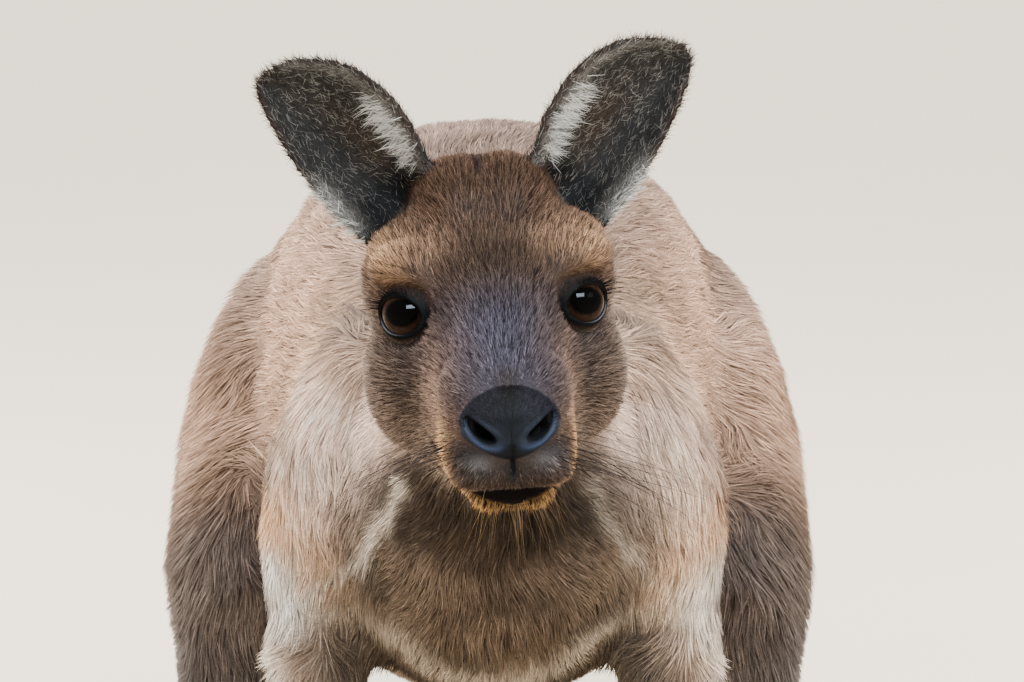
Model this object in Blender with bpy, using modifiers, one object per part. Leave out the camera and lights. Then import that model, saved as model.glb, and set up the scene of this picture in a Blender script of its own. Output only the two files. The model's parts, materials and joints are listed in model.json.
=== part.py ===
"""A life-size kangaroo, crouched on all fours with its head raised.

Each part of the body is lofted from a few named stations. The lofts are fused into one skin
by a voxel remesh and smoothed. The skin is then parted where a person would name its parts:
a limb by a swollen copy of its own loft, and the head, neck, trunk and tail by planes.
The animal faces -Y, its left side is +X, and the floor is z = 0. Lengths are metres.
"""

import math

import bmesh
import bpy
import numpy as np
from mathutils import Euler, Matrix, Vector

# ---------------------------------------------------------------- driving dimensions

EYE_HEIGHT = 0.49  # floor to the point midway between the eyes, which is also x = 0, y = 0
HEAD_YAW = math.radians(3.0)  # the muzzle turns this far to the animal's left
HEAD_ROLL = math.radians(3.5)  # the left side of the head is carried this much higher
HEAD_PITCH = math.radians(3.0)  # and the muzzle this much lower

EYE_RADIUS = 0.0145
EYE_OPENING = (0.0138, 0.0105)  # half width and half height between the lids
EAR_LENGTH = 0.098
EAR_SPLAY = math.radians(43)  # outward from the head's upright
EAR_LEAN = math.radians(12)  # backward
EAR_INNER, EAR_OUTER = 0.0430, 0.0225  # greatest widths either side of the ear's own axis
EAR_CUP = 0.025  # how far its middle lies behind its edges, at the root
EAR_TIP_CUP = 0.005  # and at the tip
EAR_FACING = (0.22, -1, 0.10)  # the way the left ear's hollow looks, in the head's frame
EAR_THICKNESS = 0.0055

HIPS_ASIDE, HIPS_ASIDE_FROM, HIPS_ASIDE_TO = 0.005, 0.150, 0.450  # how far, and between which y

FOOT_OUT = 0.142  # middle of the body to a foot's middle line
PAW_OUT = 0.083

GAP = 0.0005  # clearance between neighbouring pieces
BODY_VOXEL = 0.006
HEAD_VOXEL = 0.0028
EAR_VOXEL = 0.0016
FOOT_VOXEL = 0.0026
HAND_VOXEL = 0.0018
BODY_TRIANGLES = 1600
HEAD_TRIANGLES = 1700
FOOT_TRIANGLES = 270
HAND_TRIANGLES = 240
EAR_TRIANGLES = 240

SIDES = {"left": 1, "right": -1}
UP, BACK = Vector((0, 0, 1)), Vector((0, 1, 0))
HEAD_TURN = Euler((HEAD_PITCH, -HEAD_ROLL, HEAD_YAW)).to_matrix().to_4x4()
HEAD_FRAME = Matrix.Translation((0, 0, EYE_HEIGHT)) @ HEAD_TURN

# ---------------------------------------------------------------- stations
# A loft's station is x, y, z, half width, rise above the centre and drop below it, square to its path.
# The torso's also say how square the section is: under 2 it leans to a diamond, over 2 to a box.

TORSO = (
    (0, 0.045, 0.462, 0.050, 0.072, 0.052, 2.2),
    (0, 0.095, 0.445, 0.060, 0.078, 0.076, 2.1),
    (0, 0.150, 0.415, 0.072, 0.094, 0.108, 2.0),
    (0, 0.215, 0.380, 0.092, 0.118, 0.138, 1.9),
    (0, 0.300, 0.352, 0.114, 0.154, 0.138, 2.0),
    (0, 0.400, 0.342, 0.134, 0.182, 0.150, 2.2),
    (0, 0.500, 0.340, 0.150, 0.192, 0.164, 2.3),
    (0, 0.600, 0.332, 0.158, 0.190, 0.170, 2.3),
    (0, 0.690, 0.312, 0.146, 0.172, 0.152, 2.2),
    (0, 0.770, 0.283, 0.118, 0.134, 0.116, 2.1),
    (0, 0.840, 0.240, 0.080, 0.094, 0.076, 2.0),
)
TAIL = (
    (0, 0.740, 0.290, 0.100, 0.116, 0.100),
    (0, 0.810, 0.250, 0.084, 0.098, 0.082),
    (0, 0.890, 0.190, 0.066, 0.074, 0.066),
    (0, 0.980, 0.122, 0.053, 0.056, 0.055),
    (0, 1.080, 0.068, 0.044, 0.045, 0.046),
    (0.003, 1.190, 0.042, 0.037, 0.038, 0.040),
    (0.010, 1.320, 0.032, 0.031, 0.031, 0.033),
    (0.017, 1.450, 0.026, 0.025, 0.025, 0.027),
    (0.014, 1.565, 0.021, 0.020, 0.020, 0.022),
    (0.004, 1.650, 0.015, 0.012, 0.012, 0.016),
)
THIGH = (
    (0.078, 0.700, 0.330, 0.060, 0.100, 0.110),
    (0.101, 0.620, 0.318, 0.077, 0.138, 0.138),
    (0.122, 0.530, 0.296, 0.074, 0.132, 0.128),
    (0.137, 0.450, 0.270, 0.062, 0.102, 0.098),
    (0.146, 0.385, 0.245, 0.050, 0.072, 0.072),
    (0.147, 0.345, 0.232, 0.033, 0.042, 0.042),
)
SHANK = (
    (0.147, 0.365, 0.218, 0.041, 0.045, 0.050),
    (0.150, 0.430, 0.180, 0.043, 0.054, 0.052),
    (0.148, 0.510, 0.142, 0.039, 0.047, 0.044),
    (0.146, 0.590, 0.104, 0.031, 0.034, 0.034),
    (0.142, 0.660, 0.070, 0.024, 0.026, 0.028),
    (0.141, 0.702, 0.050, 0.020, 0.022, 0.022),
)
UPPER_ARM = (
    (0.052, 0.215, 0.440, 0.034, 0.050, 0.045),
    (0.074, 0.225, 0.395, 0.043, 0.062, 0.052),
    (0.092, 0.245, 0.345, 0.041, 0.058, 0.048),
    (0.100, 0.262, 0.300, 0.034, 0.044, 0.038),
    (0.101, 0.268, 0.268, 0.027, 0.030, 0.028),
)
FOREARM = (
    (0.100, 0.268, 0.290, 0.030, 0.032, 0.034),
    (0.101, 0.250, 0.245, 0.031, 0.034, 0.034),
    (0.096, 0.222, 0.180, 0.026, 0.028, 0.028),
    (0.089, 0.194, 0.110, 0.019, 0.021, 0.021),
    (0.085, 0.176, 0.060, 0.016, 0.017, 0.017),
    (PAW_OUT, 0.166, 0.030, 0.016, 0.015, 0.015),
)
FOOT = (
    (FOOT_OUT - 0.002, 0.722, 0.028, 0.012, 0.014, 0.022),
    (FOOT_OUT - 0.001, 0.704, 0.034, 0.021, 0.026, 0.034),
    (FOOT_OUT, 0.660, 0.031, 0.024, 0.027, 0.032),
    (FOOT_OUT + 0.001, 0.590, 0.026, 0.025, 0.021, 0.027),
    (FOOT_OUT + 0.002, 0.515, 0.022, 0.026, 0.017, 0.023),
    (FOOT_OUT + 0.003, 0.470, 0.020, 0.022, 0.014, 0.021),
)
# Each toe runs from inside the foot to its tip: x off the foot's line, y, z, radius.
TOES = {
    "fourth": ((0.000, 0.490, 0.019, 0.0175), (0.003, 0.440, 0.017, 0.0160), (0.004, 0.408, 0.014, 0.0115)),
    "fifth": ((0.016, 0.545, 0.018, 0.0130), (0.024, 0.500, 0.015, 0.0115), (0.027, 0.474, 0.012, 0.0085)),
    "second": ((-0.016, 0.535, 0.016, 0.009), (-0.021, 0.500, 0.013, 0.0075), (-0.022, 0.480, 0.011, 0.006)),
}
TOE_CLAWS = {"fourth": (0.038, 0.0078), "fifth": (0.026, 0.0060), "second": (0.014, 0.0036)}
PALM = (
    (PAW_OUT, 0.176, 0.044, 0.0165, 0.016, 0.016),
    (PAW_OUT, 0.164, 0.026, 0.0195, 0.017, 0.017),
    (PAW_OUT - 0.001, 0.142, 0.014, 0.0240, 0.013, 0.014),
    (PAW_OUT - 0.002, 0.122, 0.010, 0.0250, 0.009, 0.010),
)
KNUCKLES = (PAW_OUT - 0.002, 0.124, 0.0085)  # where the middle finger starts
FINGERS, FINGER_SPACING, FINGER_FAN = 5, 0.0095, math.radians(17)
FINGER_LENGTH, FINGER_RADIUS = 0.034, 0.0068
OUTER_FINGER_LOSS = 0.09  # each finger is this share shorter than its neighbour nearer the middle
FINGER_CLAW = (0.019, 0.0036)
CLAW_TAPER = 0.82  # the share of its thickness that a claw loses by its tip
CLAW_DROOP = {"toe": 0.26, "finger": 0.21}  # how far the tip drops, as a share of the claw's length

# The head in its own frame, x aside, y back and z up from the point between the eyes:
# y, half width, top, bottom, and the height where it is widest.
SKULL = (
    (-0.1190, 0.0170, -0.0210, -0.0560, -0.038),
    (-0.1130, 0.0250, -0.0140, -0.0670, -0.042),
    (-0.0980, 0.0310, -0.0070, -0.0760, -0.046),
    (-0.0750, 0.0335, 0.0020, -0.0820, -0.047),
    (-0.0500, 0.0355, 0.0120, -0.0860, -0.045),
    (-0.0250, 0.0400, 0.0220, -0.0890, -0.043),
    (-0.0125, 0.0450, 0.0280, -0.0900, -0.042),
    (0.0000, 0.0530, 0.0350, -0.0905, -0.038),
    (0.0125, 0.0590, 0.0410, -0.0900, -0.032),
    (0.0250, 0.0620, 0.0460, -0.0880, -0.028),
    (0.0500, 0.0610, 0.0520, -0.0780, -0.018),
    (0.0750, 0.0530, 0.0520, -0.0640, -0.008),
    (0.0950, 0.0400, 0.0420, -0.0440, 0.000),
)
# Masses over the skull: centre and half sizes, each on both sides of the head.
HEAD_MASSES = {
    "brow": ((0.0400, 0.0120, 0.0215), (0.0220, 0.0230, 0.0150)),
    "temple": ((0.0380, 0.0390, 0.0080), (0.0280, 0.0330, 0.0350)),
    "poll": ((0.0110, 0.0560, 0.0390), (0.0290, 0.0420, 0.0315)),
    "orbit": ((0.0350, 0.0130, 0.0000), (0.0190, 0.0200, 0.0190)),
    "cheek": ((0.0370, 0.0250, -0.0380), (0.0310, 0.0430, 0.0400)),
    "lip": ((0.0150, -0.0960, -0.0520), (0.0170, 0.0250, 0.0180)),
    "snout": ((0.0170, -0.0820, -0.0250), (0.0165, 0.0330, 0.0200)),
    "chin": ((0.0060, -0.0880, -0.0700), (0.0160, 0.0200, 0.0120)),
}
EYE_AT = (0.0415, 0.0040, 0.0000)
EYE_FACING = Vector((0.58, -0.81, 0.06)).normalized()
EAR_AT = (0.0445, 0.0470, 0.0430)
NOSE_AT, NOSE_SIZE = (0, -0.1140, -0.0350), (0.0240, 0.0125, 0.0210)
NOSE_NARROWING, NOSE_SETBACK = 0.30, 0.004
MOUTH_HEIGHT, MOUTH_CORNER = -0.0650, -0.0300  # the jaw is parted below and before these
JAW_REACH = 0.20  # a block longer, wider and deeper than the jaw

# ---------------------------------------------------------------- planes between the parts
# A point of the plane and the way it faces.
NAPE = ((0, 0.070, 0.440), (0, 1, -0.35))
NECK_ROOT = ((0, 0.165, 0.420), (0, 1, -0.45))
WAIST = ((0, 0.330, 0.360), (0, 1, 0.05))
TAIL_ROOT = ((0, 0.850, 0.225), (0, 1, -0.62))
TAIL_HALFWAY = ((0, 1.120, 0.050), (0, 1, -0.20))
TAIL_END = ((0, 1.400, 0.030), (0, 1, 0))
ANKLE = ((0.147, 0.590, 0.104), (-0.02, 0.90, -0.44))
WRIST = ((0.085, 0.176, 0.062), (0, 0.30, 1))
LIMB_BLOCK = (0.090, 0.090, 0.160)  # as wide and deep as one limb's cut needs
# How each limb is parted from the trunk: the stations it follows, how far the region is set outward
# and swollen, and the way that its sections rise. They are taken in this order.
LIMB_REGIONS = {
    "shank": (SHANK[::2], 0.004, 0.010, UP),
    "thigh": (THIGH, 0.026, 0.020, UP),
    "forearm": (FOREARM[1::2], 0.004, 0.012, BACK),
    "upper_arm": (UPPER_ARM[::2], 0.014, 0.008, BACK),
}

# ---------------------------------------------------------------- helpers


def clear_scene():
    for obj in list(bpy.data.objects):
        bpy.data.objects.remove(obj, do_unlink=True)


def add_object(name, mesh, collection):
    obj = bpy.data.objects.new(name, mesh)
    collection.objects.link(obj)
    return obj


def bake_modifiers(obj):
    """Replaces the object's mesh by its evaluated one."""
    bpy.context.view_layer.update()
    evaluated = obj.evaluated_get(bpy.context.evaluated_depsgraph_get())
    mesh = bpy.data.meshes.new_from_object(evaluated)
    obj.modifiers.clear()
    obj.data = mesh


def through(stations, per_span):
    """A Catmull-Rom curve through rows of numbers, so that centres and radii change smoothly together."""
    rows = np.array(stations, float)
    ends = np.vstack([2 * rows[0] - rows[1], rows, 2 * rows[-1] - rows[-2]])
    found = []
    for before, start, end, after in zip(ends, ends[1:], ends[2:], ends[3:]):
        for t in np.arange(per_span) / per_span:
            slope = (end - before) * t + (2 * before - 5 * start + 4 * end - after) * t * t
            bend = (3 * (start - end) + after - before) * t**3
            found.append(start + (slope + bend) / 2)
    found.append(rows[-1])
    return np.array(found)


def ring(half_width, rise, drop, power, sides):
    """Points of a superellipse whose upper and lower halves have their own heights."""
    for k in range(sides):
        turn = 2 * math.pi * k / sides
        across, over = math.cos(turn), math.sin(turn)
        across = math.copysign(abs(across) ** (2 / power), across)
        over = math.copysign(abs(over) ** (2 / power), over)
        yield across * half_width, over * (rise if over > 0 else drop)


def skin_rings(bm, rings):
    """Joins rings of vertices into a tube and closes its ends."""
    for one, two in zip(rings, rings[1:]):
        for k in range(len(one)):
            after = (k + 1) % len(one)
            bm.faces.new((one[k], one[after], two[after], two[k]))
    bm.faces.new(rings[0][::-1])
    bm.faces.new(rings[-1])
    bmesh.ops.recalc_face_normals(bm, faces=bm.faces)


def loft(bm, stations, mirror=1, hint=UP, power=2.2, sides=24, per_span=5):
    """Adds a closed tube through the stations. The hint is the way that rise points, as nearly as it can.
    A seventh number in the stations is their own power."""
    rows = through(stations, per_span)
    rows[:, 0] *= mirror
    rings = []
    for row, tangent in zip(rows, np.gradient(rows[:, :3], axis=0)):
        forward = Vector(tangent).normalized()
        aside = forward.cross(hint).normalized()
        over = aside.cross(forward)
        centre = Vector(row[:3])
        points = ring(*row[3:6], row[6] if len(row) > 6 else power, sides)
        rings.append([bm.verts.new(centre + aside * a + over * b) for a, b in points])
    skin_rings(bm, rings)


def round_stations(rows):
    """Stations of a round limb from x, y, z and radius."""
    return [(x, y, z, r, r, r) for x, y, z, r in rows]


def ellipsoid(bm, centre, sizes, segments=24):
    placed = Matrix.Translation(centre) @ Matrix.Diagonal((*sizes, 1))
    bmesh.ops.create_uvsphere(bm, u_segments=segments, v_segments=segments // 2, radius=1, matrix=placed)


def mesh_from(name, build):
    """A mesh filled by build(bm)."""
    bm = bmesh.new()
    build(bm)
    mesh = bpy.data.meshes.new(name)
    bm.to_mesh(mesh)
    bm.free()
    return mesh


def fuse(obj, voxel, smoothing):
    """Makes overlapping closed shapes one skin and eases the creases where they meet."""
    remesh = obj.modifiers.new("Fuse", "REMESH")
    remesh.mode = "VOXEL"
    remesh.voxel_size = voxel
    smooth = obj.modifiers.new("Ease", "SMOOTH")
    smooth.factor = 0.5
    smooth.iterations = smoothing
    bake_modifiers(obj)


def thin_out(obj, triangles):
    """Brings the object down to about this many triangles."""
    obj.data.calc_loop_triangles()
    decimate = obj.modifiers.new("Thin", "DECIMATE")
    decimate.ratio = min(1.0, triangles / len(obj.data.loop_triangles))
    decimate.use_collapse_triangulate = True
    bake_modifiers(obj)


def combine(obj, cutter, operation):
    boolean = obj.modifiers.new("Cut", "BOOLEAN")
    boolean.operation = operation
    boolean.solver = "EXACT"
    boolean.object = cutter
    bake_modifiers(obj)
    drop_crumbs(obj)


def cut(obj, cutter):
    """Takes the cutter's shape out of the object."""
    combine(obj, cutter, "DIFFERENCE")


def loose_bodies(bm):
    """The sets of vertices that hang together."""
    unseen = set(bm.verts)
    while unseen:
        body, edge = set(), [next(iter(unseen))]
        while edge:
            vert = edge.pop()
            if vert not in body:
                body.add(vert)
                edge += [link.other_vert(vert) for link in vert.link_edges]
        unseen -= body
        yield body


def drop_crumbs(obj):
    """Keeps only the largest loose body, as a cut can leave a sliver beside it."""
    bm = bmesh.new()
    bm.from_mesh(obj.data)
    bmesh.ops.remove_doubles(bm, verts=bm.verts, dist=1e-6)
    bodies = sorted(loose_bodies(bm), key=len)
    crumbs = [vert for body in bodies[:-1] for vert in body]
    bmesh.ops.delete(bm, geom=crumbs, context="VERTS")
    bm.to_mesh(obj.data)
    bm.free()


def make_cutter(name, mesh):
    cutter = add_object(name, mesh, CUTTERS)
    cutter.hide_render = True
    cutter.display_type = "WIRE"
    return cutter


def carve(obj, tool):
    """Makes room in the object for the tool, and a gap all round it."""
    swell = tool.modifiers.new("Gap", "DISPLACE")
    swell.strength = GAP
    swell.mid_level = 0
    bpy.context.view_layer.update()
    evaluated = tool.evaluated_get(bpy.context.evaluated_depsgraph_get())
    cutter = make_cutter(tool.name + "_room", bpy.data.meshes.new_from_object(evaluated))
    tool.modifiers.clear()
    cut(obj, cutter)


def block(point, normal, grow, side=1, size=(3, 3, 3)):
    """A box whose near face lies on the plane, or grow before it, and faces back along the normal."""
    mesh = mesh_from("block", lambda bm: bmesh.ops.create_cube(bm, size=1))
    point, normal = Vector(point), Vector(normal).normalized()
    point.x *= side
    normal.x *= side
    turn = normal.to_track_quat("Z", "Y").to_matrix().to_4x4()
    centre = point + normal * (size[2] / 2 - grow)
    mesh.transform(Matrix.Translation(centre) @ turn @ Matrix.Diagonal((*size, 1)))
    return mesh


def beyond(plane, **how):
    """The region past a plane, for part_off."""
    return lambda grow: block(*plane, grow, **how)


def before(plane, **how):
    """The region that the plane faces away from."""
    point, normal = plane
    return lambda grow: block(point, -Vector(normal), grow, **how)


def around(stations, side, outward, swell, **how):
    """The region round a limb: its own loft swollen, and set outward so that it leaves the trunk whole."""

    def region(grow):
        more = swell + grow
        rows = [[x + outward, y, z, a + more, b + more, c + more] for x, y, z, a, b, c in stations]
        for end, beside in ((0, 1), (-1, -2)):
            outer, inner = Vector(rows[end][:3]), Vector(rows[beside][:3])
            rows[end][:3] = outer + (outer - inner).normalized() * grow

        def build(bm):
            loft(bm, rows, mirror=side, sides=8, per_span=1, **how)
            # With the same diagonals whatever the growth, the two walls of a gap stay parallel.
            bmesh.ops.triangulate(bm, faces=bm.faces, quad_method="FIXED")

        return mesh_from("region", build)

    return region


def part_off(whole, name, region):
    """Moves what lies in the region from the whole to a piece of its own, with the gap between them."""
    piece = add_object(name, whole.data.copy(), PARTS)
    combine(piece, make_cutter(name + "_region", region(0)), "INTERSECT")
    cut(whole, make_cutter(name + "_gap", region(GAP)))
    return piece


def stand_flat(obj):
    """Cuts the object off at the floor, which leaves a small flat to rest on."""
    cut(obj, make_cutter(obj.name + "_floor", block((0, 0.7, 0), (0, 0, -1), 0)))


# ---------------------------------------------------------------- head


def build_head(bm):
    """The skull's loft with the brow, cheek, lip and chin masses, set on the neck."""
    rings = []
    for y, half_width, top, bottom, widest in through(SKULL, 5):
        points = ring(half_width, top - widest, widest - bottom, 2.3, 32)
        rings.append([bm.verts.new((a, y, widest + b)) for a, b in points])
    skin_rings(bm, rings)
    for centre, sizes in HEAD_MASSES.values():
        for side in SIDES.values():
            ellipsoid(bm, (centre[0] * side, *centre[1:]), sizes)
    bmesh.ops.transform(bm, matrix=HEAD_FRAME, verts=bm.verts)
    loft(bm, TORSO[:5])


def make_eye(name, side, head):
    """The eyeball, in a socket that opens as an oval hole along the way it looks."""
    x, y, z = EYE_AT
    centre = Vector((x * side, y, z))
    mesh = mesh_from(name, lambda bm: ellipsoid(bm, centre, (EYE_RADIUS,) * 3, 12))
    mesh.transform(HEAD_FRAME)
    carve(head, add_object(name, mesh, PARTS))
    facing = Vector((EYE_FACING.x * side, EYE_FACING.y, EYE_FACING.z))
    depth = 2 * EYE_RADIUS

    def build_opening(bm):
        bmesh.ops.create_cone(bm, cap_ends=True, segments=14, radius1=1, radius2=1.15, depth=1)

    opening = mesh_from(name, build_opening)
    turn = facing.to_track_quat("Z", "Y").to_matrix().to_4x4()
    opening.transform(turn @ Matrix.Diagonal((*EYE_OPENING, depth, 1)))
    opening.transform(HEAD_FRAME @ Matrix.Translation(centre + facing * depth / 2))
    cut(head, make_cutter(name + "_opening", opening))


def make_nose():
    """The bare leather pad, which narrows and falls back below the nostrils."""

    def build(bm):
        ellipsoid(bm, (0, 0, 0), NOSE_SIZE, 12)
        for vert in bm.verts:
            low = max(0.0, -vert.co.z / NOSE_SIZE[2])
            vert.co.x *= 1 - NOSE_NARROWING * low
            vert.co.y += NOSE_SETBACK * low

    mesh = mesh_from("nose", build)
    mesh.transform(HEAD_FRAME @ Matrix.Translation(NOSE_AT))
    return add_object("nose", mesh, PARTS)


def ear_outline(along):
    """Widths of an ear's inner and outer halves at a share of its length: broad, then rounded off."""
    if along < 0.5:
        inner = 1 - 0.38 * ((0.5 - along) / 0.5) ** 2
    else:
        inner = math.sqrt(1 - ((along - 0.5) / 0.5) ** 2)
    outer = (1 - (max(0.0, along - 0.2) / 0.8) ** 1.7) ** 0.75
    return EAR_INNER * inner, EAR_OUTER * outer


def ear_point(along, across):
    """A point of the ear's middle sheet: across is -1 on the outer edge and 1 on the inner one."""
    inner, outer = ear_outline(along)
    aside = across * (inner if across > 0 else outer)
    cup = EAR_TIP_CUP + (EAR_CUP - EAR_TIP_CUP) * (1 - along) ** 0.7
    return Vector((aside, cup * (1 - across * across), along * EAR_LENGTH))


def ear_frame(side):
    """From the ear's own axes, x to its inner edge, y to its back and z to its tip, to the model's."""
    tip = Vector((side * math.sin(EAR_SPLAY), 0, math.cos(EAR_SPLAY)))
    tip = (Matrix.Rotation(-EAR_LEAN, 3, "X") @ tip).normalized()
    facing = Vector((side * EAR_FACING[0], *EAR_FACING[1:]))
    back = -(facing - tip * facing.dot(tip)).normalized()
    inward = back.cross(tip) * -side * math.copysign(1, back.cross(tip).x)
    turn = Matrix((inward, back, tip)).transposed().to_4x4()
    x, y, z = EAR_AT
    return HEAD_FRAME @ Matrix.Translation((x * side, y, z)) @ turn


def make_ear(name, side):
    """A cupped leaf: an open sheet given its thickness."""
    rows, columns = 15, 11

    def build(bm):
        grid = []
        for i in range(rows):
            along = 0.998 * math.sin(math.pi / 2 * i / (rows - 1)) ** 0.85
            across = [-1 + 2 * j / (columns - 1) for j in range(columns)]
            grid.append([bm.verts.new(ear_point(along, a)) for a in across])
        for one, two in zip(grid, grid[1:]):
            for j in range(columns - 1):
                bm.faces.new((one[j], one[j + 1], two[j + 1], two[j]))

    mesh = mesh_from(name, build)
    mesh.transform(ear_frame(side))
    ear = add_object(name, mesh, PARTS)
    solid = ear.modifiers.new("Thickness", "SOLIDIFY")
    solid.thickness = EAR_THICKNESS
    solid.offset = 0
    bake_modifiers(ear)
    fuse(ear, EAR_VOXEL, 3)
    thin_out(ear, EAR_TRIANGLES)
    return ear


# ---------------------------------------------------------------- feet and hands


def claw(name, start, direction, length, radius, droop):
    """A curved, tapering claw that starts inside the digit's end."""
    stations = []
    for share in (0.0, 0.5, 1.0):
        at = start + direction * (share * length) - UP * (droop * length * share**2)
        size = radius * (1 - CLAW_TAPER * share**1.5)
        stations.append((*at, size, size * 1.15, size))
    mesh = mesh_from(name, lambda bm: loft(bm, stations, sides=5, per_span=1, power=2))
    return add_object(name, mesh, PARTS)


def make_foot(side_name, side):
    """The long hind foot: a big fourth toe, the fifth outside it and the joined second and third inside."""

    def build(bm):
        loft(bm, FOOT, mirror=side)
        loft(bm, SHANK[-4:], mirror=side)
        for rows in TOES.values():
            placed = [(FOOT_OUT + x, y, z, r) for x, y, z, r in rows]
            loft(bm, round_stations(placed), mirror=side, sides=16)

    foot = add_object("foot_" + side_name, mesh_from("foot", build), PARTS)
    fuse(foot, FOOT_VOXEL, 4)
    thin_out(foot, FOOT_TRIANGLES)
    stand_flat(foot)
    cut(foot, make_cutter(foot.name + "_ankle", before(ANKLE, side=side, size=LIMB_BLOCK)(GAP / 2)))
    for toe, rows in TOES.items():
        length, radius = TOE_CLAWS[toe]
        x, y, z, _ = rows[-1]
        start = Vector((side * (FOOT_OUT + x), y + 0.35 * length, z + 0.001))
        carve(foot, claw(f"claw_{toe}_toe_{side_name}", start, -BACK, length, radius, CLAW_DROOP["toe"]))


def make_hand(side_name, side):
    """The palm with five fingers fanned forward on the floor."""
    knuckles = Vector((side * KNUCKLES[0], *KNUCKLES[1:]))
    fingers = []
    for k in range(FINGERS):
        off = k - FINGERS // 2
        heading = Vector((side * math.sin(off * FINGER_FAN), -math.cos(off * FINGER_FAN), 0))
        start = knuckles + Vector((side * off * FINGER_SPACING, 0.006 * abs(off), 0))
        fingers.append((start, heading, FINGER_LENGTH * (1 - OUTER_FINGER_LOSS * abs(off))))

    def build(bm):
        loft(bm, PALM, mirror=side, hint=BACK)
        loft(bm, FOREARM[-3:], mirror=side, hint=BACK)
        for start, heading, length in fingers:
            rows = []
            for share in (-0.3, 0.3, 0.7, 1.0):
                at = start + heading * (share * length)
                rows.append((at.x, at.y, at.z - 0.002 * share, FINGER_RADIUS * (1 - 0.25 * max(0, share))))
            loft(bm, round_stations(rows), sides=12)

    hand = add_object("hand_" + side_name, mesh_from("hand", build), PARTS)
    fuse(hand, HAND_VOXEL, 3)
    thin_out(hand, HAND_TRIANGLES)
    stand_flat(hand)
    cut(hand, make_cutter(hand.name + "_wrist", beyond(WRIST, side=side, size=LIMB_BLOCK)(GAP / 2)))
    for k, (start, heading, length) in enumerate(fingers):
        at = start + heading * (length - FINGER_RADIUS / 2)
        carve(hand, claw(f"claw_finger_{k + 1}_{side_name}", at, heading, *FINGER_CLAW, CLAW_DROOP["finger"]))


# ---------------------------------------------------------------- body


def build_body(bm):
    loft(bm, TORSO, sides=32)
    loft(bm, TAIL)
    for side in SIDES.values():
        loft(bm, THIGH, mirror=side)
        loft(bm, SHANK, mirror=side)
        loft(bm, UPPER_ARM, mirror=side, hint=BACK)
        loft(bm, FOREARM, mirror=side, hint=BACK)


# ---------------------------------------------------------------- materials

# Base colour, roughness and metallic value of each finish.
FINISHES = {
    "coat": ((0.16, 0.105, 0.075), 0.85, 0.0),
    "coat_dark": ((0.045, 0.035, 0.030), 0.85, 0.0),
    "nose_leather": ((0.018, 0.018, 0.022), 0.45, 0.0),
    "eye": ((0.020, 0.010, 0.006), 0.05, 0.0),
    "horn": ((0.015, 0.013, 0.012), 0.35, 0.0),
}


def make_material(name):
    colour, roughness, metallic = FINISHES[name]
    material = bpy.data.materials.new(name)
    material.use_nodes = True
    shader = material.node_tree.nodes["Principled BSDF"]
    shader.inputs["Base Color"].default_value = (*colour, 1)
    shader.inputs["Roughness"].default_value = roughness
    shader.inputs["Metallic"].default_value = metallic
    return material


def finish_of(name):
    if name.startswith("claw"):
        return "horn"
    if name.startswith("eye"):
        return "eye"
    if name == "nose":
        return "nose_leather"
    if name.startswith(("hand", "foot", "tail_tip")):
        return "coat_dark"
    return "coat"


# ---------------------------------------------------------------- assembly


def make_collection(name):
    collection = bpy.data.collections.new(name)
    bpy.context.scene.collection.children.link(collection)
    return collection


def assemble_head():
    head = add_object("head", mesh_from("head", build_head), PARTS)
    fuse(head, HEAD_VOXEL, 3)
    thin_out(head, HEAD_TRIANGLES)
    cut(head, make_cutter("head_nape", beyond(NAPE)(GAP / 2)))
    for side_name, side in SIDES.items():
        make_eye("eye_" + side_name, side, head)
        carve(head, make_ear("ear_" + side_name, side))
    carve(head, make_nose())

    def jaw_region(grow):
        mesh = mesh_from("jaw", lambda bm: bmesh.ops.create_cube(bm, size=1))
        middle = (0, MOUTH_CORNER + grow - JAW_REACH / 2, MOUTH_HEIGHT + grow - JAW_REACH / 2)
        mesh.transform(HEAD_FRAME @ Matrix.Translation(middle) @ Matrix.Diagonal((JAW_REACH,) * 3).to_4x4())
        return mesh

    part_off(head, "lower_jaw", jaw_region)


def assemble_body():
    body = add_object("trunk", mesh_from("body", build_body), PARTS)
    fuse(body, BODY_VOXEL, 8)
    thin_out(body, BODY_TRIANGLES)
    stand_flat(body)
    cut(body, make_cutter("body_nape", before(NAPE)(GAP / 2)))
    for name, side in SIDES.items():
        cut(body, make_cutter("ankle_" + name, beyond(ANKLE, side=side, size=LIMB_BLOCK)(GAP / 2)))
        cut(body, make_cutter("wrist_" + name, before(WRIST, side=side, size=LIMB_BLOCK)(GAP / 2)))
        for limb, (stations, outward, swell, hint) in LIMB_REGIONS.items():
            part_off(body, f"{limb}_{name}", around(stations, side, outward, swell, hint=hint))
    part_off(body, "tail_tip", beyond(TAIL_END))
    part_off(body, "tail_middle", beyond(TAIL_HALFWAY))
    part_off(body, "tail_base", beyond(TAIL_ROOT))
    part_off(body, "neck", before(NECK_ROOT))
    part_off(body, "chest", before(WAIST))


def set_hips_aside():
    """Slides what lies behind the shoulders to the animal's right, more and more up to the hips."""
    for obj in PARTS.objects:
        for vert in obj.data.vertices:
            share = min(1, max(0, (vert.co.y - HIPS_ASIDE_FROM) / (HIPS_ASIDE_TO - HIPS_ASIDE_FROM)))
            vert.co.x -= HIPS_ASIDE * share * share * (3 - 2 * share)


def centre_on_floor():
    """Moves the model so that the origin is under the middle of its box."""
    points = np.array([tuple(obj.matrix_world @ v.co) for obj in PARTS.objects for v in obj.data.vertices])
    middle = (points.min(axis=0) + points.max(axis=0)) / 2
    for obj in PARTS.objects:
        obj.data.transform(Matrix.Translation((-middle[0], -middle[1], 0)))


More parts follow.
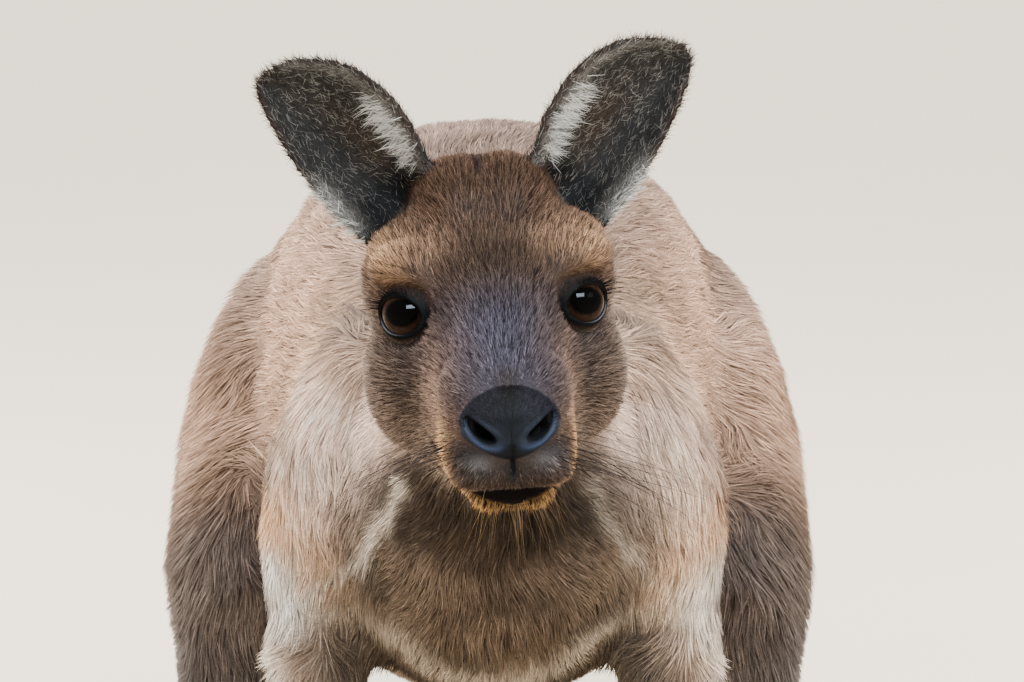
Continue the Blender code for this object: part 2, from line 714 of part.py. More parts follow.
clear_scene()
PARTS = make_collection("kangaroo")
CUTTERS = make_collection("cutters")
assemble_head()
assemble_body()
for side_name, side in SIDES.items():
    make_foot(side_name, side)
    make_hand(side_name, side)
set_hips_aside()
centre_on_floor()
MATERIALS = {name: make_material(name) for name in FINISHES}
for part in PARTS.objects:
    part.data.materials.clear()
    part.data.materials.append(MATERIALS[finish_of(part.name)])
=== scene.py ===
# %% [markdown]
# # A crouching kangaroo
# A life-size museum model of a kangaroo, crouched on all fours with its head raised.
# The solids of the frame say where everything is. Here they get one skin, and over it the eyes,
# the nose, the whiskers and a coat of fur in which every hair is a thin closed spike.
# Lengths are metres, the animal faces -Y, its left side is +X and the floor is z = 0.

# %% Load the frame
import json
import math

import bmesh
import bpy
import numpy as np
from mathutils import Euler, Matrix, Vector
from mathutils.bvhtree import BVHTree
from mathutils.kdtree import KDTree

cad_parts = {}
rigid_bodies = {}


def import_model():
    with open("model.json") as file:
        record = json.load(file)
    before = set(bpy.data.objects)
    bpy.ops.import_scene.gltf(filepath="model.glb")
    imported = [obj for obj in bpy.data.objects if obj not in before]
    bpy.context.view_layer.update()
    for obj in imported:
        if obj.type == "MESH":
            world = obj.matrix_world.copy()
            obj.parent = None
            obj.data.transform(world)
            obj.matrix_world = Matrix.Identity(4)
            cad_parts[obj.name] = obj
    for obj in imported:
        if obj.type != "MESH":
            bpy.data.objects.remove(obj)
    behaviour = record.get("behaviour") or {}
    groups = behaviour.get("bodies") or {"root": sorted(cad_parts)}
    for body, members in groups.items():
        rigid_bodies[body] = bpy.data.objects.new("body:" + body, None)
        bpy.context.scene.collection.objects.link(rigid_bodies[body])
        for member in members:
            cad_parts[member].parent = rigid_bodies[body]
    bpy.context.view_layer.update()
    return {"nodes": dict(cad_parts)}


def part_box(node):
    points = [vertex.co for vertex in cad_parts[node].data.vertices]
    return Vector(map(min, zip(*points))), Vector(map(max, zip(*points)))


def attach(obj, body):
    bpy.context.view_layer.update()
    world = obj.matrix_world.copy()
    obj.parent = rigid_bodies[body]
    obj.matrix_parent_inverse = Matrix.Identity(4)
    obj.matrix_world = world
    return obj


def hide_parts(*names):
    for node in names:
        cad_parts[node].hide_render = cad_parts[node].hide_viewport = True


for leftover in list(bpy.data.objects):
    bpy.data.objects.remove(leftover)
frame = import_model()
nodes = frame["nodes"]

# %% [markdown]
# ## The head's own axes
# The head is carried a little turned, tilted and lowered, so the face is easiest to describe in
# axes of its own: x to the animal's left ear, y to the back of the skull and z to the crown,
# starting midway between the eyes. Arrays of points go in and out of them with one matrix.

# %% Head axes
HEAD_YAW, HEAD_ROLL, HEAD_PITCH = math.radians(3.0), math.radians(3.5), math.radians(3.0)
EYE_BEHIND = 0.004  # the eyeballs' centres lie this far behind the head's origin
HEAD_TURN = np.array(Euler((HEAD_PITCH, -HEAD_ROLL, HEAD_YAW)).to_matrix())
SIDES = {"left": 1, "right": -1}


def middle_of(name):
    low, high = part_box(name)
    return np.array((low + high) / 2)


eye_middles = {side: middle_of("eye_" + side) for side in SIDES}
HEAD_ORIGIN = (eye_middles["left"] + eye_middles["right"]) / 2 - HEAD_TURN @ (0, EYE_BEHIND, 0)


def to_head(points):
    return (points - HEAD_ORIGIN) @ HEAD_TURN


def from_head(points):
    return points @ HEAD_TURN.T + HEAD_ORIGIN


def turn_from_head(directions):
    return directions @ HEAD_TURN.T


print("head origin", HEAD_ORIGIN.round(4))
print("eyes in head axes", to_head(np.array(list(eye_middles.values()))).round(4).tolist())

# %% [markdown]
# ## Small tools for points
# Everything that covers the body is made from arrays of points. Sculpting by hand would do too, but
# sums over all points at once can be repeated and corrected. These few functions do what recurs:
# vectors of length one, a smooth step from 0 to 1, a soft bump round a value, and mixing.

# %% Array tools
def unit(vectors):
    return vectors / np.maximum(np.linalg.norm(vectors, axis=-1, keepdims=True), 1e-12)


def dot(a, b):
    return (a * b).sum(-1)


def step(value, low, high):
    """0 below low, 1 above high and smooth between; low may be the larger."""
    t = np.clip((value - low) / (high - low), 0, 1)
    return t * t * (3 - 2 * t)


def bump(value, middle, width):
    return np.exp(-(((value - middle) / width) ** 2))


def mix(a, b, share):
    a, b, share = np.asarray(a), np.asarray(b), np.asarray(share)
    if max(a.ndim, b.ndim) > share.ndim:
        share = share[..., None]
    return a + (b - a) * share


print("a smooth step a quarter of the way gives", step(0.25, 0, 1))

# %% [markdown]
# A mesh is read and written fastest as whole arrays: one call copies a field of every point, where
# a loop over the points would take minutes for a skin as fine as this one.

# %% Mesh tools
def mesh_object(name, points, faces, smooth=True):
    """An object from an array of points and one of faces that all have the same number of corners."""
    faces = np.ascontiguousarray(faces, np.int32)
    mesh = bpy.data.meshes.new(name)
    mesh.vertices.add(len(points))
    mesh.vertices.foreach_set("co", np.ascontiguousarray(points, np.float32).ravel())
    mesh.loops.add(faces.size)
    mesh.loops.foreach_set("vertex_index", faces.ravel())
    mesh.polygons.add(len(faces))
    mesh.polygons.foreach_set("loop_start", np.arange(0, faces.size, faces.shape[1], dtype=np.int32))
    mesh.update(calc_edges=True)
    mesh.shade_smooth() if smooth else mesh.shade_flat()
    obj = bpy.data.objects.new(name, mesh)
    bpy.context.scene.collection.objects.link(obj)
    return obj


def read(items, field, kind=np.float32, width=3):
    """One field of every item of a mesh, as rows of an array."""
    flat = np.empty(len(items) * width, kind)
    items.foreach_get(field, flat)
    return flat.reshape(-1, width)


def points_of(mesh):
    return read(mesh.vertices, "co").astype(float)


def normals_of(mesh):
    return read(mesh.vertex_normals, "vector").astype(float)


def edges_of(mesh):
    return read(mesh.edges, "vertices", np.int32, 2)


def triangles_of(mesh):
    mesh.calc_loop_triangles()
    return read(mesh.loop_triangles, "vertices", np.int32)


def set_points(mesh, points):
    mesh.vertices.foreach_set("co", np.ascontiguousarray(points, np.float32).ravel())
    mesh.update()


print("mesh tools ready")

# %% [markdown]
# Smoothing a surface, softening the border between two colours and blending two directions of fur
# are the same sum: every point's value moves towards the average of its neighbours'. A modifier
# would smooth only positions; this also takes colours, directions and any other value.

# %% Smoothing tools
def neighbour_average(values, ends, counts):
    """Each point's value averaged over the points that an edge joins it to."""
    total = np.empty_like(values)
    for k in range(values.shape[1]):
        total[:, k] = np.bincount(ends[:, 0], values[ends[:, 1], k], len(values))
        total[:, k] += np.bincount(ends[:, 1], values[ends[:, 0], k], len(values))
    return total / counts[:, None]


def pulled(values, ends, pulls, weight=1.0):
    """Values drawn towards the average of their neighbours, once for each pull."""
    counts = np.maximum(np.bincount(ends.ravel(), minlength=len(values)), 1)
    weight = np.broadcast_to(weight, len(values))[:, None]
    for pull in pulls:
        values = values + weight * pull * (neighbour_average(values, ends, counts) - values)
    return values


def soften(values, ends, rounds):
    """Averaging of one value per point, or of a row of them, over a mesh."""
    if values.ndim == 1:
        return pulled(values.astype(float)[:, None], ends, [0.5] * rounds)[:, 0]
    return pulled(values, ends, [0.5] * rounds)


def smooth_points(points, ends, rounds, weight):
    """Taubin smoothing: every shrinking pull is followed by a growing one, so the size stays."""
    return pulled(points, ends, [0.52, -0.54] * rounds, weight)


print("smoothing tools ready")

# %% [markdown]
# ## One skin
# A real kangaroo has one skin over everything, so no seam may show between head, neck and legs.
# The flesh solids are moved out a little until their thin gaps close, joined, and remade as one
# closed surface by a voxel remesh. That surface is smoothed until the solids' facets are gone:
# much over the back and tail, where forms are large, and little on the face, ears and fingers.

# %% Join the flesh
GAP_CLOSING = 0.0007
SKIN_VOXEL = 0.0032
SMOOTHING_ROUNDS = 70
BARE = ("nose", "eye", "claw")
flesh = sorted(name for name in nodes if not name.startswith(BARE))


def closed_mesh(name, grow):
    """A node's points, merged where its facets share them and moved out along their normals."""
    bm = bmesh.new()
    bm.from_mesh(nodes[name].data)
    bmesh.ops.remove_doubles(bm, verts=bm.verts, dist=1e-6)
    bm.normal_update()
    for vert in bm.verts:
        vert.co += vert.normal * grow
    bmesh.ops.triangulate(bm, faces=bm.faces)
    points = np.array([vert.co for vert in bm.verts])
    bm.verts.index_update()
    faces = np.array([[vert.index for vert in face.verts] for face in bm.faces])
    bm.free()
    return points, faces


def joined(names, grow):
    all_points, all_faces, owners, start = [], [], [], 0
    for k, name in enumerate(names):
        points, faces = closed_mesh(name, grow)
        all_points.append(points)
        all_faces.append(faces + start)
        owners.append(np.full(len(faces), k))
        start += len(points)
    return np.concatenate(all_points), np.concatenate(all_faces), np.concatenate(owners)


def applied(obj):
    """The mesh of an object with its modifiers in it; the object itself is removed."""
    graph = bpy.context.evaluated_depsgraph_get()
    mesh = bpy.data.meshes.new_from_object(obj.evaluated_get(graph))
    bpy.data.objects.remove(obj)
    return mesh


filling = flesh + ["nose", "eye_left", "eye_right"]
points, faces, _ = joined(filling, GAP_CLOSING)
rough = mesh_object("rough", points, faces)
remesh = rough.modifiers.new("one skin", "REMESH")
remesh.mode = "VOXEL"
remesh.voxel_size = SKIN_VOXEL
skin_mesh = applied(rough)
print(len(flesh), "nodes of flesh make a skin of", len(skin_mesh.polygons), "faces")

# %% [markdown]
# Each point of the skin is told which solid it lies nearest to, because that decides how long its
# fur is, which way the fur lies and what colour it has. A tree of the solids' facets answers that.
# The table below holds, for each part of the body, how much it is smoothed, how deep its coat is
# from skin to tips, how long and wide one hair is, all in millimetres, and how many hairs there
# are on a square centimetre.

# %% What each part of the body is like
PARTS = {
    #              smoothing, coat depth, hair length, hair width, hairs per square centimetre
    "head": (0.30, 2.6, 7.5, 0.48, 128),
    "lower_jaw": (0.25, 2.2, 7.5, 0.44, 130),
    "ear": (0.35, 1.3, 6.5, 0.42, 90),
    "neck": (0.90, 4.5, 18.0, 1.05, 34),
    "chest": (1.00, 5.0, 20.0, 1.10, 26),
    "trunk": (1.00, 5.0, 23.0, 1.40, 17),
    "thigh": (1.00, 4.5, 20.0, 1.30, 19),
    "shank": (0.80, 3.0, 15.0, 1.20, 18),
    "foot": (0.25, 1.6, 10.0, 0.90, 20),
    "upper_arm": (0.90, 4.0, 17.0, 1.05, 32),
    "forearm": (0.70, 2.8, 13.0, 0.95, 28),
    "hand": (0.20, 1.2, 7.0, 0.60, 40),
    "tail_base": (1.00, 5.0, 22.0, 1.40, 15),
    "tail_middle": (0.80, 4.0, 20.0, 1.40, 16),
    "tail_tip": (0.60, 3.5, 20.0, 1.30, 20),
}
MM = 0.001


def part_of(name):
    return max((part for part in PARTS if name.startswith(part)), key=len)


names = list(PARTS)
part_of_node = [names.index(part_of(name)) for name in flesh]
table = np.array(list(PARTS.values()))
cad_points, cad_faces, cad_owner = joined(flesh, 0.0)
cad_tree = BVHTree.FromPolygons(cad_points.tolist(), cad_faces.tolist())


def nearest_parts(points):
    """The index in PARTS of the solid nearest to each point."""
    found = [cad_tree.find_nearest(point)[2] for point in points]
    return np.array(part_of_node)[cad_owner[found]]


def within(*chosen):
    """True at the points of the skin that belong to one of these parts."""
    return np.isin(parts, [names.index(part) for part in chosen])


points, ends = points_of(skin_mesh), edges_of(skin_mesh)
parts = nearest_parts(points)
amount = soften(table[parts, 0], ends, 12)
points = smooth_points(points, ends, SMOOTHING_ROUNDS, amount)
print("smoothed", len(points), "points")

# %% [markdown]
# The face needs finer skin than the back. Each quad of the head is divided in four, and those
# round the eyes, the nose and the mouth once more, with a little smoothing after each.

# %% Refine the head
EYE_AT = to_head(eye_middles["left"])
NOSE_AT = to_head(middle_of("nose"))
HEAD_PARTS = ("head", "lower_jaw", "ear")
EYE_REACH, MUZZLE_REACH = 0.024, 0.034  # how far round them the skin is finest


def refined(mesh, chosen):
    """Every edge whose two ends are chosen is divided, and the faces between them with it."""
    bm = bmesh.new()
    bm.from_mesh(mesh)
    picked = [edge for edge in bm.edges if chosen[edge.verts[0].index] and chosen[edge.verts[1].index]]
    bmesh.ops.subdivide_edges(bm, edges=picked, cuts=1, use_grid_fill=True)
    bm.to_mesh(mesh)
    bm.free()
    return points_of(mesh), edges_of(mesh)


def beside(points, place, squash=(1, 1, 1)):
    """Distance from a place of the head given for its left side, and from its mirror image."""
    local = to_head(points)
    local[:, 0] = abs(local[:, 0])
    return np.linalg.norm((local - place) * squash, axis=1)


def near_face_parts(points):
    """True close to an eye or to the front of the muzzle."""
    muzzle = (beside(points, NOSE_AT, (1, 1, 0.8)) < MUZZLE_REACH) & (to_head(points)[:, 1] < -0.06)
    return (beside(points, EYE_AT) < EYE_REACH) | muzzle


set_points(skin_mesh, points)
points, ends = refined(skin_mesh, within(*HEAD_PARTS))
chosen = near_face_parts(points)
parts = nearest_parts(points)
head_share = soften(within(*HEAD_PARTS), ends, 8)
points = smooth_points(points, ends, 3, head_share)
set_points(skin_mesh, points)
points, ends = refined(skin_mesh, chosen)
parts = nearest_parts(points)
print(len(points), "points,", len(skin_mesh.polygons), "faces")

# %% [markdown]
# ## Under the coat
# The solids reach to the tips of the fur, so the skin goes inward from them by the coat's depth,
# which passes smoothly from the thin coat of the face to the deep one of the back. The coat is
# thinnest on the rims of the eyes and round the nose and mouth.

# %% Sink the skin
KNEE_AT = (-0.415, 0.200)  # seen from the side


def per_part(column, rounds):
    """A column of the table at each point of the skin, without jumps between parts."""
    return soften(table[parts, column], ends, rounds)


# the crease below the kneecap is rounded off
off_knee = np.hypot(*(points[:, 1:] - KNEE_AT).T)
points = mix(points, soften(points, ends, 120), step(off_knee, 0.085, 0.040))
set_points(skin_mesh, points)
normals = soften(normals_of(skin_mesh), ends, 6)
depth = per_part(1, 30) * MM
near_eye = step(beside(points, EYE_AT), 0.034, 0.020)
near_nose = step(beside(points, NOSE_AT), 0.040, 0.024)
depth = mix(depth, 1.3 * MM, near_eye)
depth = mix(depth, 1.0 * MM, near_nose)
points = points - unit(normals) * depth[:, None]
print("coat depth in mm", (depth.min() / MM).round(2), "to", (depth.max() / MM).round(2))

# %% [markdown]
# ## Eyelids
# The eyeball stays a piece of its own. Round it the skin is modelled as a height over a plane that
# looks the way the eye does. Outside the opening it comes down on to a shell a lid's thickness above
# the eyeball, with a fold above and a bag below, and inside the opening it dives behind the eyeball.
# The opening is an oval, so a point's place is measured in opening sizes, 1 on the lids' edge.

# %% Model the lids
EYE_RADIUS = 0.0145
EYE_NEAR = 0.034  # the lids reach no further than this
EYE_OPENING = np.array((0.0127, 0.0101))
LID_THICKNESS = 0.0016
GAZE = unit(np.array((0.58, -0.81, 0.06)))


def eye_axes(side):
    """The eye's own axes as rows: along the opening, up across it and out along the gaze."""
    gaze = GAZE * (side, 1, 1)
    along = unit(np.cross((0.0, 0.0, 1.0), gaze))
    return turn_from_head(np.array((along, np.cross(gaze, along), gaze)))


def lids(points, centre, axes):
    local = (points - centre) @ axes.T
    across, up, out = local.T
    size = np.hypot(across / EYE_OPENING[0], up / EYE_OPENING[1])
    front = step(out, -0.004, 0.002)
    shell = np.sqrt(np.maximum((EYE_RADIUS + LID_THICKNESS) ** 2 - across**2 - up**2, 2e-5))
    # the upper lid is heavier than the lower, with a fold over it
    shell += 0.0012 * bump(size, 1.13, 0.14) * step(up, -0.004, 0.006)
    fold = -0.0013 * bump(size, 1.50, 0.09) * step(up, 0.0, 0.008)
    bag = -0.0010 * bump(size, 1.46, 0.10) * step(up, -0.002, -0.008)
    hold = step(size, 2.0, 1.12) * front
    out = mix(out + (fold + bag) * front, shell, hold)
    pocket = np.sqrt(np.maximum((EYE_RADIUS - 0.0030) ** 2 - across**2 - up**2, 0)) - 0.002
    out = mix(out, pocket, step(size, 1.02, 0.95) * front)
    return np.stack((across, up, out), axis=1) @ axes + centre, size, front


eye_ring = np.full(len(points), 9.0)
for side, sign in SIDES.items():
    centre, axes = eye_middles[side], eye_axes(sign)
    close = np.linalg.norm(points - centre, axis=1) < EYE_NEAR
    points[close], size, front = lids(points[close], centre, axes)
    eye_ring[close] = np.where(front > 0.5, size, 9.0)
print((eye_ring < 1).sum(), "points of skin inside the two eye openings")

# %% [markdown]
# ## Mouth
# The mouth shows as a dark line that runs back along the muzzle and turns up a little at its
# corner, and in front the lips part a little on the dark inside. The skin sinks into a groove
# there, the upper lip hangs slightly over the lower, and the split of the upper lip runs up to the
# nose. A low pad swells where the whiskers grow.

# %% Model the mouth
NOSE_SIZE = np.array((0.0242, 0.0122, 0.0200))
NOSE_LOW = 0.0160  # half height of the nose pad below its middle


def narrowed(rise):
    """How far the nose pad's sides draw in below its middle, over the lip's split."""
    return 1 - 0.38 * np.clip(-rise, 0, 1) ** 1.2


def in_nose_pad(points, size):
    """Distance from the middle of the nose pad, 1 on its outline, for a pad of the given size."""
    local = to_head(points) - NOSE_AT
    rise = local[:, 2] / np.where(local[:, 2] < 0, NOSE_LOW, NOSE_SIZE[2])
    across = local[:, 0] / NOSE_SIZE[0] / narrowed(rise)
    return np.sqrt(across**2 + (local[:, 1] / 0.020) ** 2 + rise**2) / size


def mouth_line(y):
    """Height of the mouth line in head axes, from the front of the muzzle to its corner."""
    return -0.0680 + 0.0110 * step(y, -0.090, -0.035)


local = to_head(points)
x, y, z = local.T
below_line = mouth_line(y) - z
along_mouth = step(y, -0.028, -0.042) * step(abs(x), 0.060, 0.045)
in_front = step(y, -0.055, -0.075)
parted = step(abs(x), 0.022, 0.006) * in_front  # the lips part a little here
gap = bump(below_line, 0.0005 + 0.0040 * parted, 0.0018 + 0.0032 * parted) * along_mouth
overhang = bump(below_line, -0.0050, 0.0035) * along_mouth
split = bump(x, 0.0, 0.0012) * step(z, -0.060, -0.055) * step(z, -0.040, -0.046)
split = split * step(y, -0.085, -0.10)
pad = bump(np.linalg.norm((local - (0.0, -0.098, -0.050)) * (0.0, 1.0, 1.0), axis=1), 0.0, 0.016)
pad = pad * bump(abs(x), 0.024, 0.014)
set_points(skin_mesh, points)
normals = unit(soften(normals_of(skin_mesh), ends, 3))
move = -(0.0026 + 0.0050 * parted) * gap + 0.0010 * overhang - 0.0016 * split + 0.0012 * pad
points = points + normals * move[:, None]
# the open part shows the inside, painted near black as painted shade, down to the lower lip's edge
lower_lip = 0.0105 - 0.0085 * np.clip(abs(x) / 0.0165, 0, 1) ** 2
inside_mouth = step(abs(x), 0.0185, 0.0150) * in_front * step(below_line, -0.0048, -0.0036)
inside_mouth = inside_mouth * step(below_line - lower_lip, 0.0008, -0.0008)
# the groove, the lip's split and the open mouth are painted near black later: painted shade in these
# recesses
mouth_dark = np.maximum(np.maximum(gap, inside_mouth), 0.8 * split)
# behind the nose pad the skin stands back, so that the nostrils open into a recess, which is painted near
# black as painted shade
behind_pad = in_nose_pad(points, 0.90)
points = points + turn_from_head(np.array((0.0, 0.0100, 0.0))) * step(behind_pad, 1.0, 0.75)[:, None]
set_points(skin_mesh, points)
print("mouth groove", (1000 * move.min()).round(2), "mm deep")

# %% [markdown]
# ## The lie of the coat
# Fur grows away from the nose over the face, backward over the neck and trunk, down the legs and
# out to the tips of the ears and tail. Each part gets its direction, the directions are blended over
# the skin and laid flat on it. The ears, whose fur runs from root to tip, use their own axis.

# %% Fur direction
AWAY = {
    "neck": (0.0, 0.8, -0.45),
    "chest": (0.0, 0.75, -0.6),
    "trunk": (0.0, 1.0, -0.35),
    "thigh": (0.0, 0.45, -1.0),
    "shank": (0.0, 0.9, -0.45),
    "foot": (0.0, -1.0, -0.15),
    "upper_arm": (0.0, 0.15, -1.0),
    "forearm": (0.0, -0.15, -1.0),
    "hand": (0.0, -1.0, -0.3),
    "tail_base": (0.0, 0.9, -0.5),
    "tail_middle": (0.0, 1.0, -0.15),
    "tail_tip": (0.0, 1.0, -0.05),
}
flow = np.zeros_like(points)
for part, away in AWAY.items():
    flow[within(part)] = unit(np.array(away))
local = to_head(points)
from_nose = local - (0.0, -0.118, -0.030)
# over the crown the stream turns back along the skull
from_nose[:, 1] += 0.04 * step(local[:, 2], 0.03, 0.07)
on_head = within("head", "lower_jaw")
flow[on_head] = turn_from_head(unit(from_nose))[on_head]
EAR_ROOT = (0.0445, 0.047, 0.043)
ear_tips = {}
for side, sign in SIDES.items():
    ear_points = closed_mesh("ear_" + side, 0.0)[0]
    root = HEAD_ORIGIN + turn_from_head(np.array(EAR_ROOT) * (sign, 1, 1))
    far = np.linalg.norm(ear_points - root, axis=1)
    tip = ear_points[np.argsort(far)[-8:]].mean(0)
    ear_tips[side] = (root, tip)
    mine = within("ear") & (points[:, 0] * sign > 0)
    flow[mine] = unit(tip - root)
flow = soften(flow, ends, 16)
on_body = soften(~within(*HEAD_PARTS), ends, 12)
waves = np.sin(points[:, [1, 2, 0]] * 75 + (0.3, 1.7, 4.0))
waves += np.sin(points[:, [2, 0, 1]] * 130 + (2.3, 0.7, 1.0))
flow = flow + (0.05 + 0.13 * on_body)[:, None] * waves
normals = unit(normals_of(skin_mesh))
flow = unit(flow - normals * dot(flow, normals)[:, None])
print("fur directions at", len(flow), "points")

# %% [markdown]
# An ear is marked and tufted along its edges, so each of its points gets a share of the ear's length
# and its distances from the inner and the outer edge. The ear is cut into short bands across its
# length, and the outermost points of each band give the two edges.

# %% Measure the ears
EAR_BINS = 40
ear_length, inside_ear = np.zeros((2, len(points)))
from_inner_edge, from_outer_edge = np.ones((2, len(points)))
to_middle = np.zeros_like(points)
for side, sign in SIDES.items():
    root, tip = ear_tips[side]
    axis = unit(tip - root)
    front = unit(np.array((0.0, -1.0, 0.0)) + axis * axis[1])
    inward = np.cross(axis, front)
    inward = inward * -np.sign(inward[0] * sign)
    mine = np.flatnonzero(within("ear") & (points[:, 0] * sign > 0))
    reach = (points[mine] - root) @ axis / np.linalg.norm(tip - root)
    aside = (points[mine] - root) @ inward
    bins = np.clip((reach * EAR_BINS).astype(int), 0, EAR_BINS - 1)
    most, least = np.full(EAR_BINS, -1.0), np.full(EAR_BINS, 1.0)
    np.maximum.at(most, bins, aside)
    np.minimum.at(least, bins, aside)
    middles = (np.arange(EAR_BINS) + 0.5) / EAR_BINS
    ear_length[mine] = reach
    from_inner_edge[mine] = np.interp(reach, middles, most) - aside
    from_outer_edge[mine] = aside - np.interp(reach, middles, least)
    inside_ear[mine] = step(normals[mine] @ front, -0.05, 0.35)
    to_middle[mine] = inward
print("left ear from", *(end.round(3) for end in ear_tips["left"]))

# %% [markdown]
# ## Markings
# The coat's colours are laid down once, as one colour at each point of the skin, and both the skin
# and the fur over it take them. A painted texture could hold them too, but a colour at each point
# needs no flattened map. Each part of the body starts with one colour: a warm brown back and
# shoulders, a darker face and thighs, dark ears, paws, feet and tail tip. Averaging blends them.

# %% Base colours
BASE = {
    "head": (0.058, 0.036, 0.025),
    "lower_jaw": (0.140, 0.080, 0.038),
    "ear": (0.044, 0.029, 0.021),
    "neck": (0.430, 0.305, 0.240),
    "chest": (0.380, 0.260, 0.170),
    "trunk": (0.340, 0.215, 0.148),
    "thigh": (0.190, 0.124, 0.088),
    "shank": (0.150, 0.115, 0.090),
    "foot": (0.055, 0.042, 0.034),
    "upper_arm": (0.440, 0.280, 0.185),
    "forearm": (0.260, 0.190, 0.140),
    "hand": (0.035, 0.028, 0.024),
    "tail_base": (0.170, 0.116, 0.084),
    "tail_middle": (0.095, 0.070, 0.055),
    "tail_tip": (0.045, 0.034, 0.028),
}


def marked(colour, patches, share):
    """The colour with each patch laid over it, where the patch is strong and the share is high."""
    for tint, strength in patches:
        colour = mix(colour, tint, strength * share)
    return colour


def ripples(*waves):
    """A sum of sine waves through the body: (turns per metre times 2 pi, phase) of each."""
    return sum(np.sin(points @ turns + phase) for turns, phase in waves)


colour = np.zeros((len(points), 3))
for part, base in BASE.items():
    colour[within(part)] = base
colour = soften(colour, ends, 30)
colour = mix(colour, soften(colour, ends, 170), on_body)  # limbs fade into the body
print("base colours of", len(BASE), "parts, mean", colour.mean(0).round(3))

# %% [markdown]
# The body's markings are patches and lines with soft borders, and painted light is among them: a painted
# highlight over the shoulder tops, and painted shade under the head, on the animal's left side and on the
# fronts of the thighs. Each is a colour and a strength, made by multiplying steps and bumps along the three
# axes. The lines, such as the pale streak from throat to elbow, are given by their corners as seen from the
# front. Painting them by hand would tie them to one mesh, while these formulas hold for any.

# %% Body markings
def from_stroke(x, z, corners):
    """Distance from the line through these corners, seen from the front."""
    nearest = np.full(len(x), 9.0)
    for (x0, z0), (x1, z1) in zip(corners, corners[1:]):
        run, rise = x1 - x0, z1 - z0
        along = np.clip(((x - x0) * run + (z - z0) * rise) / (run**2 + rise**2), 0, 1)
        nearest = np.minimum(nearest, np.hypot(x - x0 - along * run, z - z0 - along * rise))
    return nearest


STREAK = ((0.045, 0.387), (0.058, 0.355), (0.073, 0.329), (0.105, 0.297))  # throat to elbow
ELBOW = ((0.127, 0.310), (0.116, 0.285))
BREAST_BAND = ((0.108, 0.283), (0.082, 0.288), (0.052, 0.286), (0.034, 0.270), (0.0, 0.262))
# a painted highlight: the pale pink band over the top of each shoulder, where the sun falls on it
SUNLIT_SHOULDER = ((0.085, 0.405), (0.115, 0.355))
SHOULDER_SIDE = ((0.132, 0.350), (0.130, 0.320))


def body_patches(points, facing_up):
    """(colour, strength) of each marking of the neck, body and legs, with a painted highlight and painted
    shade among them.
    """
    x, y, z = (points - (HEAD_ORIGIN[0], 0.0, 0.0)).T
    side = abs(x)
    front = step(y, -0.46, -0.51)

    def line(corners, width):
        return bump(from_stroke(side, z, corners), 0.0, width) * front

    forearm = step(z, 0.285, 0.265) * step(z, 0.16, 0.22) * front
    # knee and low_thigh mark where the thighs' fronts get painted shade, between the arms and the thighs
    knee = step(y, -0.33, -0.40) * step(y, -0.49, -0.46)
    # left is high on the animal's left side, which gets painted shade: its pale marks are weaker and the
    # throat's dark reaches wider there
    left = step(x, -0.01, 0.03)
    # the breast's dark is partly its own dark brown fur and partly painted shade under the head
    breast = step(side, 0.104, 0.070) * step(z, 0.44, 0.37) * front
    mottle = step(ripples(((71, 0, 97), 0), ((-83, 20, 61), 1), ((23, 40, -131), 0)), 0.1, 1.4)
    # the throat's near-black patch is painted shade under the head, wider on the left side
    throat = step(side - 0.012 * left + 0.026 * step(z, 0.37, 0.41), 0.086, 0.056)
    flank = step(z, 0.29, 0.38) * step(side, 0.10, 0.14) * step(y, -0.40, -0.30)
    beside_streak = bump(side, 0.082, 0.014) * step(z, 0.39, 0.36) * step(z, 0.29, 0.32) * front
    nape = step(side, 0.070, 0.035) * step(z, 0.48, 0.53) * step(y, -0.45, -0.60)
    belly = step(facing_up, 0.1, -0.4) * step(side, 0.12, 0.07)
    belly = belly * step(y, -0.46, -0.36) * step(y, 0.40, 0.25)
    low_thigh = step(z, 0.30, 0.18) * step(side, 0.11, 0.15) * step(y, 0.0, -0.2)
    return (
        ((0.350, 0.222, 0.153), 0.9 * flank),
        # painted shade under the head on breast and throat, over the breast's own dark mottling
        ((0.036, 0.026, 0.018), 0.9 * breast),
        ((0.016, 0.012, 0.009), 0.55 * breast * mottle),
        ((0.014, 0.010, 0.007), 0.92 * throat * step(z, 0.46, 0.40) * step(z, 0.33, 0.37) * front),
        ((0.110, 0.084, 0.066), 0.8 * beside_streak),
        # painted highlight: the pale pink band over the shoulder tops
        ((0.760, 0.600, 0.540), (0.9 - 0.2 * left) * line(SUNLIT_SHOULDER, 0.023)),
        ((0.600, 0.330, 0.175), (0.9 - 0.2 * left) * line(SHOULDER_SIDE, 0.021)),
        # the shoulder bands, the pale streak and the elbow's cream are weaker on the left side: painted
        # shade there
        ((0.440, 0.380, 0.320), (0.75 - 0.5 * left) * line(STREAK, 0.0038)),
        ((0.860, 0.840, 0.820), (0.95 - 0.4 * left) * line(ELBOW, 0.016)),
        ((0.330, 0.270, 0.210), 0.75 * line(BREAST_BAND, 0.009)),
        ((0.090, 0.076, 0.064), 0.85 * forearm * bump(side, 0.088, 0.020)),
        ((0.480, 0.420, 0.360), 0.8 * forearm * step(side, 0.110, 0.122)),
        ((0.135, 0.102, 0.090), 0.8 * step(facing_up, 0.30, 0.90) * step(z, 0.36, 0.44)),
        ((0.150, 0.112, 0.090), 0.8 * nape),
        ((0.400, 0.360, 0.310), belly),
        # painted shade on the low fronts of the thighs and by the knees
        ((0.080, 0.073, 0.070), 0.85 * low_thigh),
        ((0.055, 0.050, 0.050), 0.75 * step(z, 0.345, 0.300) * knee),
    )


facing_up = soften(normals_of(skin_mesh)[:, 2], ends, 40)
colour = marked(colour, body_patches(points, facing_up), on_body)
print("body marked, mean", colour.mean(0).round(3))

# %% [markdown]
# The face has most markings: dark crown and bridge, tan brows, a dark patch in front of each eye, a
# grizzled muzzle with an orange corner of the mouth, and a pale chin. Most are soft spots, given by
# where they are and how far they reach, the same on both sides.

